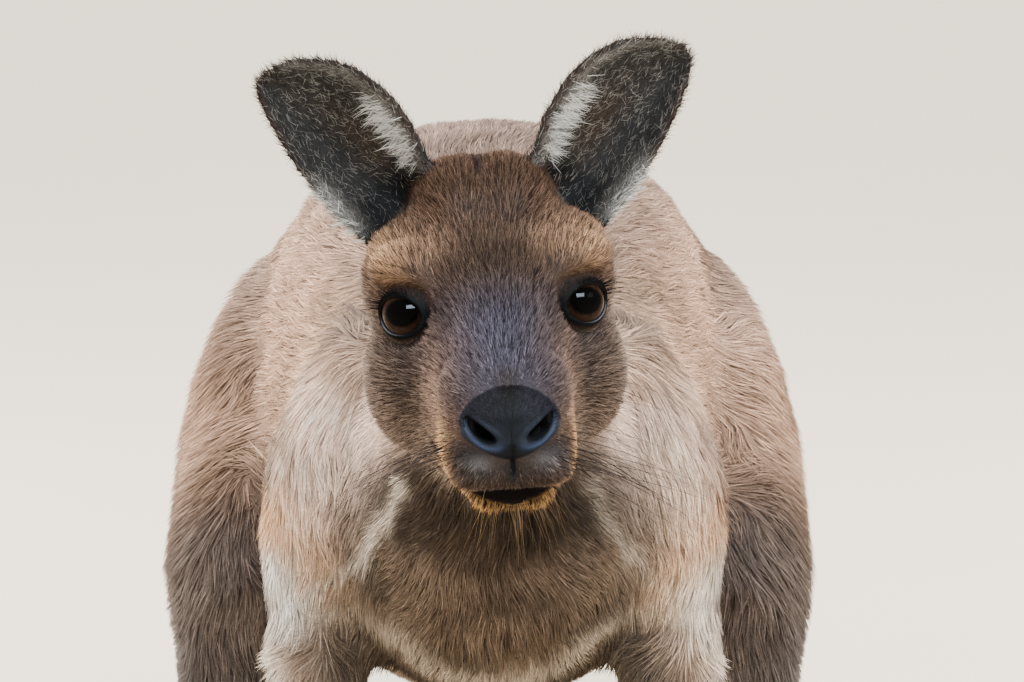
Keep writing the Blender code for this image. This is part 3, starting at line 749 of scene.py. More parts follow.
# %% Face markings
def head_patches(local):
    """(colour, strength) of each marking of the face, from points in head axes."""
    x, y, z = local.T
    side = abs(x)

    def spot(*sizes):
        """A soft spot on each side of the face: its place and its reach in x, y, z, millimetres."""
        place, reach = np.reshape(sizes, (2, 3)) * MM
        return np.exp(-(((np.stack((side, y, z), axis=1) - place) / reach) ** 2).sum(1))

    front = step(y, 0.03, -0.01)
    tip = step(y, -0.095, -0.106)
    bridge = bump(x, 0.0, 0.026) * step(z, 0.025, 0.001) * step(z, -0.040, -0.022) * front
    return (
        ((0.036, 0.021, 0.013), step(z, 0.034, 0.060) * step(y, 0.12, 0.07)),
        ((0.062, 0.046, 0.037), 0.75 * step(side, 0.030, 0.045) * step(z, 0.005, -0.015)),
        ((0.016, 0.011, 0.007), 0.8 * spot(0, -10, 24, 24, 30, 16)),
        ((0.010, 0.008, 0.008), 0.8 * spot(0, -30, 6, 22, 40, 12)),
        ((0.030, 0.030, 0.045), 0.95 * bridge),
        ((0.235, 0.142, 0.079), 0.95 * spot(49, 10, 27, 14, 50, 7.5)),
        ((0.121, 0.074, 0.048), 0.8 * spot(34, 0, 33, 12, 50, 10)),
        ((0.022, 0.019, 0.022), 0.5 * spot(40, -20, -18, 12, 40, 7)),
        ((0.020, 0.015, 0.016), 0.8 * spot(26, -30, 0, 5, 30, 12)),
        ((0.028, 0.024, 0.022), 0.3 * spot(43, -20, -36, 7, 40, 13)),
        ((0.103, 0.067, 0.050), 0.8 * spot(30, -50, -30, 6, 40, 14)),
        ((0.068, 0.049, 0.038), 0.8 * spot(45, -20, -64, 20, 50, 18)),
        ((0.130, 0.098, 0.082), 0.8 * step(side, 0.056, 0.068) * step(z, 0.02, 0.0)),
        ((0.025, 0.021, 0.022), 0.9 * spot(16, -110, -54, 18, 30, 12)),
        ((0.020, 0.018, 0.020), 0.9 * spot(18, -114, -45, 16, 30, 6)),
        ((0.120, 0.120, 0.128), 0.55 * spot(17, -118, -50, 6.5, 20, 3.5)),
        ((0.013, 0.012, 0.012), 0.9 * spot(0, -118, -56, 6, 20, 9)),
        ((0.700, 0.400, 0.175), 0.95 * spot(37, -90, -52, 6.8, 20, 14)),
        ((0.237, 0.134, 0.050), step(z, -0.068, -0.074) * step(y, -0.03, -0.07)),
        ((0.325, 0.182, 0.084), 0.8 * spot(26, -105, -69, 8, 20, 5)),
        ((0.224, 0.169, 0.125), step(z, -0.078, -0.095) * step(y, -0.07, -0.02)),
        ((0.025, 0.021, 0.024), bump(x, 0.0, 0.007) * step(z, -0.040, -0.030) * tip),
        ((0.013, 0.008, 0.007), bump(x, -0.002, 0.003) * step(z, 0.056, 0.064) * step(y, 0.10, 0.06)),
        ((0.196, 0.158, 0.132), 0.75 * step(y, 0.020, 0.070) * step(z, 0.045, 0.010)),
    )


local = to_head(points)
colour = marked(colour, head_patches(local), soften(on_head, ends, 30))
print("face marked, mean", colour[on_head].mean(0).round(3))

# %% [markdown]
# The ears are dark inside and brown outside, with a white band inside the inner edge, a pale fringe
# at the outer one and a thin dark rim. Shares of the ear's length and distances from its edges say
# where each goes, so the bands follow the ear's outline.

# %% Ear markings
def ear_patches():
    """(colour, strength) of the markings of the ears: dark inside, with a white band near the edge."""
    t, inner, outer, inside = ear_length, from_inner_edge, from_outer_edge, inside_ear
    band = inside * bump(inner, 0.0105, 0.0040) * step(t, 0.08, 0.20) * step(t, 0.60, 0.44)
    fringe = bump(outer, 0.002, 0.0055) * step(t, 0.0, 0.08) * step(t, 0.50, 0.30)
    rim = step(np.minimum(np.minimum(inner, outer), (1 - t) * 0.09), 0.0045, 0.0020)
    return (
        ((0.028, 0.026, 0.024), inside),
        ((0.052, 0.035, 0.026), 0.7 * inside * bump(t, 0.42, 0.22) * bump(inner, 0.026, 0.009)),
        ((0.008, 0.007, 0.006), inside * step(t, 0.24, 0.10)),
        ((0.120, 0.112, 0.104), 0.9 * inside * bump(inner, 0.0055, 0.0030)),
        ((0.300, 0.305, 0.300), 0.6 * band),
        ((0.030, 0.018, 0.013), 0.9 * rim * step(t, 0.10, 0.25)),
        ((0.460, 0.460, 0.440), 0.40 * fringe),
    )


on_ear = within("ear").astype(float)
colour = marked(colour, ear_patches(), on_ear)
print("ears marked, mean", colour[on_ear > 0].mean(0).round(3))

# %% [markdown]
# Real fur is never one even colour, so large soft blotches go over all of it. Last come the bare edges of
# the eyes and the mouth, which are nearly black, so that no pale fur shows through there, and painted
# shade: near black in the mouth's groove, its split and its open inside, and on the sunken skin behind the
# nose pad.

# %% Blotches and bare edges
blotch = ripples(((31, 17, 23), 0), ((-19, 29, 37), 1.3), ((47, -41, 13), 2.1), ((83, 61, -71), 0.4))
broad = ripples(((52, 23, 31), 0), ((-37, 61, 45), 0.7), ((71, -33, 59), 1.9))
colour = colour * (1 + 0.05 * blotch + 0.09 * on_body * broad)[:, None]
upper_edge = bump(below_line, -0.0060, 0.0030) * along_mouth * step(abs(local[:, 0]), 0.028, 0.020)
dark_skin_and_painted_shade = (
    ((0.020, 0.014, 0.011), 0.75 * upper_edge),
    # painted shade: near black in the mouth's groove, its split and its open inside
    ((0.004, 0.003, 0.003), step(mouth_dark, 0.0, 0.5)),
    ((0.006, 0.004, 0.004), 0.85 * step(eye_ring, 1.40, 1.15)),
    ((0.002, 0.002, 0.002), step(eye_ring, 1.25, 1.08)),
    # painted shade on the sunken skin behind the nose pad
    ((0.003, 0.002, 0.002), step(behind_pad, 1.06, 0.98)),
)
colour = marked(colour, dark_skin_and_painted_shade, 1.0)
print("mean coat colour", colour.mean(0).round(3))

# %% [markdown]
# ## Shader maths
# A material is easier to read as a formula than as boxes and links. A Value wraps a socket, and
# adding or multiplying two of them adds the node that does it. Any other node comes from node().

# %% Material tools
class Value:
    """A node's output, with the operators that shader formulas here use."""

    def __init__(self, material, socket):
        self.material, self.socket = material, socket

    def combine(self, other, operation, swap=False):
        pair = (other, self) if swap else (self, other)
        return self.material.node("ShaderNodeMath", {"operation": operation}, {0: pair[0], 1: pair[1]})

    def __add__(self, other):
        return self.combine(other, "ADD")

    def __mul__(self, other):
        return self.combine(other, "MULTIPLY")

    def __sub__(self, other):
        return self.combine(other, "SUBTRACT")

    def __rsub__(self, other):
        return self.combine(other, "SUBTRACT", swap=True)

    __radd__, __rmul__ = __add__, __mul__


class Material:
    """A Principled material that is built up from formulas."""

    def __init__(self, name, **constants):
        self.made = bpy.data.materials.new(name)
        self.made.use_nodes = True
        self.tree = self.made.node_tree
        self.shader = self.tree.nodes["Principled BSDF"]
        for name, value in constants.items():
            self.set(name.replace("_", " "), value)

    def node(self, kind, settings, inputs, output=0):
        made = self.tree.nodes.new(kind)
        for setting, value in settings.items():
            setattr(made, setting, value)
        for name, value in inputs.items():
            self.feed(made.inputs[name], value)
        return Value(self, made.outputs[output])

    def feed(self, socket, value):
        if isinstance(value, Value):
            self.tree.links.new(value.socket, socket)
        else:
            socket.default_value = value

    def set(self, name, value):
        self.feed(self.shader.inputs[name], value)

    def noise(self, scale, detail=3.0, roughness=0.5):
        place = self.node("ShaderNodeTexCoord", {}, {}, "Object")
        inputs = {"Scale": scale, "Detail": detail, "Roughness": roughness, "Vector": place}
        return self.node("ShaderNodeTexNoise", {}, inputs, "Fac")

    def between(self, value, low, high, to_low=0.0, to_high=1.0):
        inputs = {"Value": value, "From Min": low, "From Max": high, "To Min": to_low, "To Max": to_high}
        return self.node("ShaderNodeMapRange", {"interpolation_type": "SMOOTHSTEP"}, inputs)

    def attribute(self, name, output="Color"):
        return self.node("ShaderNodeAttribute", {"attribute_name": name}, {}, output)

    def blend(self, share, first, second, how="MIX"):
        settings = {"data_type": "RGBA", "blend_type": how}
        return self.node("ShaderNodeMix", settings, {0: share, 6: first, 7: second}, 2)

    def shaded(self, colour, value):
        """A colour times a number that varies, which Mix takes as a grey."""
        inputs = {"Red": value, "Green": value, "Blue": value}
        grey = self.node("ShaderNodeCombineColor", {}, inputs)
        return self.blend(1.0, colour, grey, "MULTIPLY")

    def bump(self, height, strength, distance):
        inputs = {"Height": height, "Strength": strength, "Distance": distance}
        self.set("Normal", self.node("ShaderNodeBump", {}, inputs))


print("Value and Material ready")

# %% [markdown]
# Fur and the skin under it take their colours from the mesh, and fine noise breaks these up. Both are
# dull, as dry hair is: its sheen comes from many hairs, each lit a little differently.

# %% Fur material
def coat_material(name, roughness, bump_height):
    """Fur or furred skin: the markings, broken up finely, with a dull sheen."""
    material = Material(name, Roughness=roughness, Specular_IOR_Level=0.02)
    grain = material.noise(900.0, 2.0)
    patches = material.noise(70.0, 3.0)
    shade = material.between(grain, 0.3, 0.7, 0.78, 1.16)
    shade = shade * material.between(patches, 0.3, 0.7, 0.88, 1.10)
    material.set("Base Color", material.shaded(material.attribute("coat_colour"), shade))
    if bump_height:
        material.bump(material.noise(1400.0, 3.0, 0.6), 0.5, bump_height)
    return material.made


skin_material = coat_material("furred skin", 0.75, 0.0006)
fur_material = coat_material("fur", 0.62, 0.0)


def paint(mesh, colours):
    """Stores one linear colour per point as the attribute that the coat's materials read."""
    layer = mesh.attributes.new("coat_colour", "FLOAT_COLOR", "POINT")
    rgba = np.ones((len(mesh.vertices), 4), np.float32)
    rgba[:, :3] = np.clip(colours, 0.0, 1.0)
    layer.data.foreach_set("color", rgba.ravel())


def finish_piece(obj, material, replaced=()):
    """What every piece needs: its material, the body it moves with and what it stands for."""
    obj.data.materials.clear()
    obj.data.materials.append(material)
    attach(obj, "root")
    if replaced:
        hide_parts(*replaced)


print("materials ready")

# %% [markdown]
# The skin that is shown can be coarser on the body than the one the fur is grown from, since the fur
# hides it. The head keeps every face; elsewhere short edges are collapsed.

# %% Show the skin
SKIN_KEPT = 0.34  # the share of the body's faces that stays
UNDER_FUR = 0.85  # the skin is this much darker than the fur over it
skin = bpy.data.objects.new("skin", skin_mesh.copy())
bpy.context.scene.collection.objects.link(skin)
group = skin.vertex_groups.new(name="body")
coarse = step(soften(~within(*HEAD_PARTS), ends, 6), 0.5, 1.0)
for level in (0.5, 1.0):
    group.add(np.flatnonzero(coarse >= level).tolist(), level, "REPLACE")
fewer = skin.modifiers.new("fewer faces", "DECIMATE")
fewer.ratio = SKIN_KEPT
fewer.vertex_group = "body"
fewer.vertex_group_factor = 1000
shown = bpy.data.meshes.new_from_object(skin.evaluated_get(bpy.context.evaluated_depsgraph_get()))
skin.modifiers.clear()
skin.vertex_groups.clear()
skin.data = shown
shown.shade_smooth()


def nearest_of(indexes, places):
    """For each place, the nearest of the skin's points that these indexes name."""
    tree = KDTree(len(indexes))
    for index in indexes:
        tree.insert(points[index], index)
    tree.balance()
    return np.array([tree.find(place)[1] for place in places])


nearest = nearest_of(range(len(points)), points_of(shown))
paint(shown, colour[nearest] * UNDER_FUR)
finish_piece(skin, skin_material, flesh)
print("skin of", len(triangles_of(shown)), "triangles")

# %% [markdown]
# ## Eyes
# The eyeball is nearly a sphere whose clear cornea swells a little round the gaze. Kangaroos show almost no
# white: a broad dark brown iris surrounds a wide, black pupil, and the whole is wet, so it mirrors the
# lamps. The lids' edges are bare black skin, with a wet line where they touch the eye, a painted reflection
# along the lower lid's outer half.

# %% Rings of points
def tube_faces(rings, around):
    """Quads between rings of points, all of the same number; the rings aren't capped."""
    ring, k = np.meshgrid(np.arange(rings - 1), np.arange(around), indexing="ij")
    here, there = ring * around, (ring + 1) * around
    after = (k + 1) % around
    return np.stack((here + k, here + after, there + after, there + k), axis=-1).reshape(-1, 4)


def circle(count):
    return np.arange(count) / count * 2 * math.pi


def ball_grid(rings, around):
    """Angles from the pole and round it for a ball with dense rings at the pole, and its quads."""
    off_pole = np.linspace(0, 1, rings) ** 1.3 * math.pi
    off_pole[0] = 1e-3
    off_pole[-1] = math.pi - 1e-3
    off_grid, turn_grid = np.meshgrid(off_pole, circle(around), indexing="ij")
    return off_grid.ravel(), turn_grid.ravel(), tube_faces(rings, around)[:, ::-1]


print("a ball of 48 rings of 64 points has", len(ball_grid(48, 64)[2]), "quads")

# %% [markdown]
# The iris is found by angle: each point of the eyeball knows how far off the pupil's middle it lies, and
# the shader turns that into pupil, streaky iris and a dark rim, which is also painted shade over the
# eyeball's outer edge where the side lamps light it. No painted texture is needed.

# %% Eye materials
eye_material = Material("eye", Roughness=0.03, Specular_IOR_Level=0.010)
off_gaze = eye_material.attribute("off_gaze", "Fac")
spokes = eye_material.noise(420.0, 4.0, 0.65)
iris = eye_material.blend(spokes, (0.006, 0.003, 0.002, 1), (0.032, 0.018, 0.012, 1))
pupil = eye_material.between(off_gaze + 0.05 * spokes, 0.50, 0.66)
# the dark rim is also painted shade over the eyeball's outer edge, which the side lamps light
rim = eye_material.between(off_gaze, 0.86, 1.00)
coloured = eye_material.blend(pupil, (0.002, 0.002, 0.002, 1), iris)
eye_material.set("Base Color", eye_material.blend(rim, coloured, (0.010, 0.007, 0.006, 1)))

rim_material = Material("lid rim", Roughness=0.40, Specular_IOR_Level=0.03)
rim_material.set("Base Color", rim_material.attribute("coat_colour"))
rim_material.bump(rim_material.noise(1500.0, 3.0), 0.4, 0.0003)
print(len(eye_material.tree.nodes), "nodes in the eye's material")

# %% [markdown]
# The eyeballs take the place of the frame's plain balls. Each lid's edge is a thin tube that lies on
# the eyeball along the opening, thin enough to read as the wet, bare margin of a real lid.

# %% Eyeballs and lid rims
PUPIL_SHAPE = np.array((0.92, 1.15))  # the pupil is a wide oval, so angles count less across it
LOOK = unit(np.array((0.36, -0.93, 0.20)))  # the pupil looks further forward than the socket opens
RIM_RINGS, RIM_SIDES = 96, 10
lash_roots = {}
for side, sign in SIDES.items():
    centre, axes = eye_middles[side], eye_axes(sign)
    off, turn, faces = ball_grid(48, 64)
    radius = EYE_RADIUS + 0.0007 * step(off, 0.95, 0.35)
    along = np.stack((np.sin(off) * np.cos(turn), np.sin(off) * np.sin(turn), np.cos(off)), axis=1)
    ball = mesh_object("eyeball_" + side, along * radius[:, None] @ axes + centre, faces)
    look = axes @ turn_from_head(LOOK * (sign, 1, 1))
    beside_look = along - look * dot(along, look)[:, None]
    shaped = np.arccos(np.clip(dot(along, look), -1, 1))
    shaped = shaped / np.maximum(np.linalg.norm(beside_look, axis=1), 1e-6)
    shaped = shaped * np.hypot(*(beside_look[:, :2] * PUPIL_SHAPE).T)
    layer = ball.data.attributes.new("off_gaze", "FLOAT", "POINT")
    layer.data.foreach_set("value", shaped.astype(np.float32))
    finish_piece(ball, eye_material.made, ["eye_" + side])

    turn = circle(RIM_RINGS)
    flat = np.stack((np.cos(turn), np.sin(turn)), axis=1) * EYE_OPENING
    out = np.sqrt((EYE_RADIUS + 0.0008) ** 2 - (flat**2).sum(1))
    spine = np.concatenate((flat, out[:, None]), axis=1)
    outward = unit(spine)
    aside = unit(np.cross(np.roll(spine, -1, 0) - np.roll(spine, 1, 0), outward))
    round_angles = circle(RIM_SIDES)
    width = 0.0006 + 0.0003 * step(np.sin(turn), -0.2, 0.6)
    across, over = np.cos(round_angles)[:, None], np.sin(round_angles)[:, None]
    tube = spine[:, None] + width[:, None, None] * (outward[:, None] * across + aside[:, None] * over)
    faces = tube_faces(RIM_RINGS + 1, RIM_SIDES) % (RIM_RINGS * RIM_SIDES)  # the last ring is the first
    rim_piece = mesh_object("lid_rim_" + side, tube.reshape(-1, 3) @ axes + centre, faces)
    # the wet line along the lower lid's outer half is a painted reflection, pale blue-grey on the black rim
    outer_low = bump(np.cos(turn) * sign, 0.55, 0.55) * step(np.sin(turn), -0.25, -0.60)
    wet = 0.7 * np.clip(-np.sin(round_angles), 0, 1)[None, :] ** 4 * outer_low[:, None]
    paint(rim_piece.data, mix((0.002, 0.002, 0.002), (0.20, 0.23, 0.29), wet.reshape(-1, 1)))
    finish_piece(rim_piece, rim_material.made)
    lash_roots[side] = (spine @ axes + centre, unit(flat @ axes[:2]), axes[2], turn)
print("eyes", {side: middle.round(3).tolist() for side, middle in eye_middles.items()})

# %% [markdown]
# ## Nose
# The bare nose is a rounded pad, wider than high, with a velvety top. Each nostril is a slanting
# comma that runs down and inward, under a soft fold and over a raised rim, and a groove divides
# the pad down its middle and goes on into the split of the lip.

# %% Nose shape
NOSTRIL_AT = np.array((0.0147, 0.0008))
NOSTRIL_SIZE = np.array((0.0088, 0.0030))
NOSTRIL_SLANT = math.radians(44)


def nose_surface(off, turn):
    """Points of the nose in head axes, and how open or dark each is."""
    x = NOSE_SIZE[0] * np.sin(off) * np.cos(turn)
    rise = np.sin(off) * np.sin(turn)
    x = x * narrowed(rise)
    z = rise * np.where(rise > 0, NOSE_SIZE[2], NOSE_LOW)
    y = -NOSE_SIZE[1] * np.cos(off)
    side = abs(x)
    slant = np.array((math.cos(NOSTRIL_SLANT), math.sin(NOSTRIL_SLANT)))
    from_middle = np.stack((side, z), axis=1) - NOSTRIL_AT
    along = from_middle @ slant
    across = from_middle @ (-slant[1], slant[0])
    # the slit bends a little and is widest at its lower, inner end
    across = across - 0.0012 * (along / NOSTRIL_SIZE[0]) ** 2
    width = NOSTRIL_SIZE[1] * (1.1 - 0.25 * along / NOSTRIL_SIZE[0])
    ring = np.sqrt((along / NOSTRIL_SIZE[0]) ** 2 + (across / width) ** 2)
    front = step(y, 0.004, -0.004)
    hole = step(ring, 1.06, 0.72) * front
    rim = bump(ring, 1.42, 0.30) * step(across, 0.004, -0.001) * front
    fold = bump(ring, 1.45, 0.28) * step(across, -0.001, 0.003) * front
    groove = bump(x, 0.0, 0.0011) * step(z, 0.008, -0.002) * front
    valley = bump(side, 0.0050, 0.0026) * step(z, 0.008, 0.0) * step(z, -0.012, -0.006) * front
    y = y + 0.0080 * hole - 0.0014 * rim - 0.0012 * fold + 0.0011 * groove + 0.0010 * valley
    return np.stack((x, y, z), axis=1), hole, rim, fold


print("each nostril is", (2 * NOSTRIL_SIZE / MM).round(1), "mm long and wide")

# %% [markdown]
# The pad is one fine mesh over the frame's nose, so that its folds are real shape and catch light.
# Its leather is nearly black, with pores from a cell pattern and a bluish sheen on the raised rims, the
# sheen painted into its colour, as is the shade inside the nostrils.

# %% Nose pad
nose_off, turn, faces = ball_grid(150, 220)
on_nose, nose_hole, rim, nose_fold = nose_surface(nose_off, turn)
nose_points = from_head(on_nose + NOSE_AT)
nose = mesh_object("nose_pad", nose_points, faces)
column = bump(on_nose[:, 0], 0.0, 0.0065 + 0.20 * np.clip(-on_nose[:, 2], 0, 0.02))
leather_sheen_and_shade = (
    # painted sheen: blue-grey on the raised rims and a little on the folds
    ((0.034, 0.056, 0.120), 0.90 * np.clip(rim + 0.25 * nose_fold, 0, 1)),
    ((0.006, 0.006, 0.009), step(on_nose[:, 2], 0.004, 0.014)),
    ((0.002, 0.002, 0.003), 0.95 * column),
    # painted shade: the nostrils' inside is painted nearly black
    ((0.0015, 0.001, 0.001), nose_hole),
)
# the leather's slight blue tint is partly painted sheen
paint(nose.data, marked(np.tile((0.012, 0.014, 0.021), (len(on_nose), 1)), leather_sheen_and_shade, 1.0))
nose_material = Material("nose leather", Specular_IOR_Level=0.04)
cells = nose_material.node("ShaderNodeTexVoronoi", {"feature": "F1"}, {"Scale": 1100.0}, "Distance")
pores = nose_material.noise(2200.0, 3.0)
shade = nose_material.between(cells, 0.0, 0.8, 1.15, 0.75)
nose_material.set("Base Color", nose_material.shaded(nose_material.attribute("coat_colour"), shade))
nose_material.set("Roughness", nose_material.between(pores, 0.3, 0.7, 0.42, 0.62))
nose_material.bump(pores * 0.3 - cells, 0.6, 0.0004)
finish_piece(nose, nose_material.made, ["nose"])
print("nose pad", (np.ptp(on_nose, axis=0) / MM).round(1), "mm")

# %% [markdown]
# ## Claws
# The claws keep the frame's own solids: curved horn, nearly black, worn paler and rougher in
# streaks along them.

# %% Claws
horn = Material("horn", Specular_IOR_Level=0.5)
streaks = horn.noise(260.0, 5.0, 0.7)
horn.set("Base Color", horn.blend(streaks, (0.010, 0.009, 0.008, 1), (0.075, 0.062, 0.050, 1)))
horn.set("Roughness", horn.between(streaks, 0.2, 0.8, 0.25, 0.55))
horn.bump(streaks, 0.4, 0.0004)
claws = sorted(name for name in nodes if name.startswith("claw"))
for name in claws:
    nodes[name].data.materials.clear()
    nodes[name].data.materials.append(horn.made)
print(len(claws), "claws")

# %% [markdown]
# ## The coat
# Every hair is a thin flat spike of mesh with four faces. It starts under the skin, leans over and
# lies along the body, so that each hair covers the roots of the next. Roots are spread evenly over
# the skin by area. Hairs lean a little towards the middles of small cells, which makes the tips
# gather into clumps, as real fur does. A hair system would draw finer strands, but only a mesh
# stays with the part wherever it goes.

# %% Roots and clumps
SEED = 9
ROOT_DEPTH = 0.0004  # hairs start this far under the skin
RIDGE = 0.4  # a hair's thickness as a share of its width
LIGHT_ACROSS, LIGHT_ALONG = 0.8, 0.4  # how far the light on a hair turns across and along it
# numbers without a pattern, which turn the place of a cell into its own jitter
SCRAMBLE = ((127.1, 311.7, 74.7), (269.5, 183.3, 246.1), (113.5, 271.9, 124.6))
SCRAMBLE_GAIN = 43758.5453
ENOUGH_POINTS = 4000  # for finding the long axis of a region
rng = np.random.default_rng(SEED)
triangles = triangles_of(skin_mesh)
normals = unit(normals_of(skin_mesh))
corner = points[triangles]
area = np.linalg.norm(np.cross(corner[:, 1] - corner[:, 0], corner[:, 2] - corner[:, 0]), axis=1) / 2
hair_length, hair_width = per_part(2, 25) * MM, per_part(3, 25) * MM


def spread(density):
    """Roots on the skin: triangle and weights of its corners, with so many per square metre."""
    share = np.cumsum(area * density[triangles].mean(1))
    count = int(share[-1])
    at = (np.arange(count) + rng.random(count)) * share[-1] / count
    chosen = np.minimum(np.searchsorted(share, at), len(triangles) - 1)
    a, b = rng.random(count), rng.random(count)
    over = a + b > 1
    a, b = np.where(over, 1 - a, a), np.where(over, 1 - b, b)
    return chosen, np.stack((1 - a - b, a, b), axis=1)


def at_roots(values, chosen, weights):
    """Any per-point values, blended to the roots."""
    picked = values[triangles[chosen]]
    return (picked * (weights if values.ndim == 1 else weights[:, :, None])).sum(1)


def cell_middles(places, size, seed):
    """A jittered middle for the small cube of space that each place is in: hairs gather to it."""
    cell = np.floor(places / size)
    jitter = np.sin(cell @ SCRAMBLE + seed) * SCRAMBLE_GAIN
    return (cell + 0.2 + 0.6 * (jitter - np.floor(jitter))) * size


print("skin area", area.sum().round(3), "m2")

# %% [markdown]
# One hair has four points and four faces, the fewest that close a shape. Its faces are lit as if they
# were part of the coat's whole surface, because thousands of facets lit one by one would glitter.
# Each piece also gets a flat layout, in which every hair has a small patch of its own.

# %% One hair and one piece
SPIKE_FACES = np.array([(0, 1, 2), (0, 3, 1), (1, 3, 2), (2, 3, 0)])


def spikes(root, way, up, length, width):
    """Flat spikes with four faces, wide along the skin, from under the skin to their tips."""
    aside = unit(np.cross(up, way))
    under = root - up * ROOT_DEPTH
    half = aside * (width / 2)[:, None]
    top = under + unit(np.cross(way, aside)) * (RIDGE * width)[:, None] * -1
    tip = root + way * length[:, None]
    return np.stack((under - half, under + half, top, tip), axis=1)


def unwrapped(places, region):
    """Roots laid out flat by angle round the region's own long axis and distance along it."""
    middle = region.mean(0)
    sparse = region[:: max(1, len(region) // ENOUGH_POINTS)]
    axes = np.linalg.svd(sparse - middle, full_matrices=False)[2]
    local = (places - middle) @ axes.T
    flat = np.stack((np.arctan2(local[:, 1], local[:, 2]), local[:, 0]), axis=1)
    low, high = flat.min(0), flat.max(0)
    return 0.01 + 0.97 * (flat - low) / (high - low)


PATCH = 0.003
SPIKE_PATCH = np.array([(0, 0), (1, 0), (0.5, 0.2), (0.5, 1)]) * PATCH


def hair_piece(name, shapes, colours, way, up, uv):
    """One object from many equal spikes: (spike, point, 3) positions and colours."""
    count = len(shapes)
    all_faces = (SPIKE_FACES[None] + np.arange(count)[:, None, None] * 4).reshape(-1, 3)
    obj = mesh_object(name, shapes.reshape(-1, 3), all_faces)
    paint(obj.data, colours.reshape(-1, 3))
    # a spike takes the light as the coat's whole surface does, a little rounded across
    aside = np.cross(up, way)
    turned = LIGHT_ACROSS * aside
    looks = np.stack((up - turned, up + turned, up, up + LIGHT_ALONG * way), axis=1)
    obj.data.normals_split_custom_set_from_vertices(unit(looks).reshape(-1, 3))
    corner_uv = (uv[:, None] + SPIKE_PATCH[None]).reshape(-1, 2)[all_faces.ravel()]
    layer = obj.data.uv_layers.new(name="OFBake")
    layer.data.foreach_set("uv", corner_uv.astype(np.float32).ravel())
    return obj


print(len(SPIKE_FACES), "faces in a hair")

# %% [markdown]
# Real hairs are banded: each is darker at the root and lighter at the tip. They also differ, some
# being pale-tipped and some nearly black, and the short coat has far more of both than the long.
# One table says how hairs of a kind gather, another how they are banded.

# %% Kinds of hair
#             cell size  pull  disorder  seed
GATHER = {
    "short": (0.0035, 0.35, 0.13, 2.0),
    "ear": (0.0035, 0.35, 0.55, 2.0),
    "long": (0.012, 0.30, 0.10, 1.0),
    "tuft": (0.005, 0.5, 0.16, 3.0),
    "velvet": (0.003, 0.3, 0.15, 4.0),
}
DARK_GAIN = 0.35
PALE_GAIN, PALE_LIFT = 3.2, 0.02
PALE_SHARES = (0.1, 0.5)  # how pale a pale hair is at its root and at its tip
#             from root to tip          dark  pale  colour of pale ones  spread
BANDS = {
    "short": ((0.25, 0.25, 0.55, 1.90), 0.38, 0.28, None, 0.55),
    "ear": ((0.25, 0.25, 0.55, 1.90), 0.38, 0.17, (0.50, 0.50, 0.46), 0.55),
    "long": ((0.80, 0.80, 0.95, 1.12), 0.08, 0.15, None, 0.12),
    "tuft": ((0.40, 0.40, 0.75, 1.0), 0.15, 0.0, None, 0.12),
    "velvet": ((0.3, 0.3, 0.7, 2.2), 0.30, 0.25, None, 0.5),
}


def banded(base, levels, dark, pale, paler, spread_out):
    """Colours of hairs along their length: (hair, level, rgb), with pale and dark ones among them.

    The pale ones go towards one colour, or towards a lighter one of their own where it is None.
    """
    count = len(base)
    kind = rng.random(count)
    factor = np.exp(rng.normal(0, spread_out, count))
    factor = np.where(kind < dark, factor * DARK_GAIN, factor)
    colours = base[:, None] * factor[:, None, None] * np.array(levels)[None, :, None]
    lighter = base[:, None] * PALE_GAIN + PALE_LIFT
    toward = np.broadcast_to(lighter if paler is None else np.array(paler), colours.shape)
    share = np.linspace(*PALE_SHARES, len(levels))[None, :, None] * (kind > 1 - pale)[:, None, None]
    return colours + (toward - colours) * share


def leaning(way, up, root, size, pull, jitter, seed):
    """Directions that lean to the middles of cells, with a little disorder, laid along the skin."""
    lean = (cell_middles(root, size, seed) - root) / size
    way = way + pull * lean + jitter * rng.normal(0, 1, way.shape)
    return unit(way - up * dot(way, up)[:, None])


print("kinds of hair:", ", ".join(BANDS))

# %% [markdown]
# Where a hair grows decides the piece it goes to, so that no piece grows too heavy: the face is
# divided in crown, cheeks, muzzle and jaw, and each side of the body has its own. All roots are
# drawn at once, so that no seam shows between pieces.

# %% Roots of the coat
ROOTS_PER_M2 = 0.95e4  # for a density of 1 in the table of parts


def piece_names():
    """For each point of the skin, the name of the coat piece that its fur belongs to."""
    label = np.array(names)[parts].astype("<U24")
    sides = np.where(points[:, 0] > HEAD_ORIGIN[0], "_left", "_right")
    paired = ~np.isin(label, ("head", "lower_jaw", "neck", "tail_base", "tail_middle", "tail_tip"))
    label = np.where(paired, np.char.add(label, sides), label)
    local = to_head(points)
    head = label == "head"
    cheek = np.where(local[:, 0] > 0, "cheek_left", "cheek_right")
    label = np.where(head, cheek, label)
    label = np.where(head & (local[:, 2] > 0.018), "crown", label)
    label = np.where(head & (local[:, 1] < -0.060), "muzzle", label)
    label = np.where(label == "lower_jaw", "jaw", label)
    return label


piece_label = piece_names()
density = per_part(4, 12) * ROOTS_PER_M2
bare = (eye_ring < 1.07) | (mouth_dark > 0.50)
under_nose = in_nose_pad(points, 0.97) < 1.0
density = density * ~bare * ~under_nose
# fur shortens towards the eyes, the nose and the mouth
by_eyes = step(eye_ring, 1.0, 2.4) * 0.65 + 0.35
by_nose = step(beside(points, NOSE_AT), 0.018, 0.045) * 0.5 + 0.5
shorter = np.minimum(by_eyes, by_nose)
shorter = shorter * (1 - 0.7 * bump(below_line, -0.0030, 0.0040) * along_mouth)
chosen, weights = spread(density)
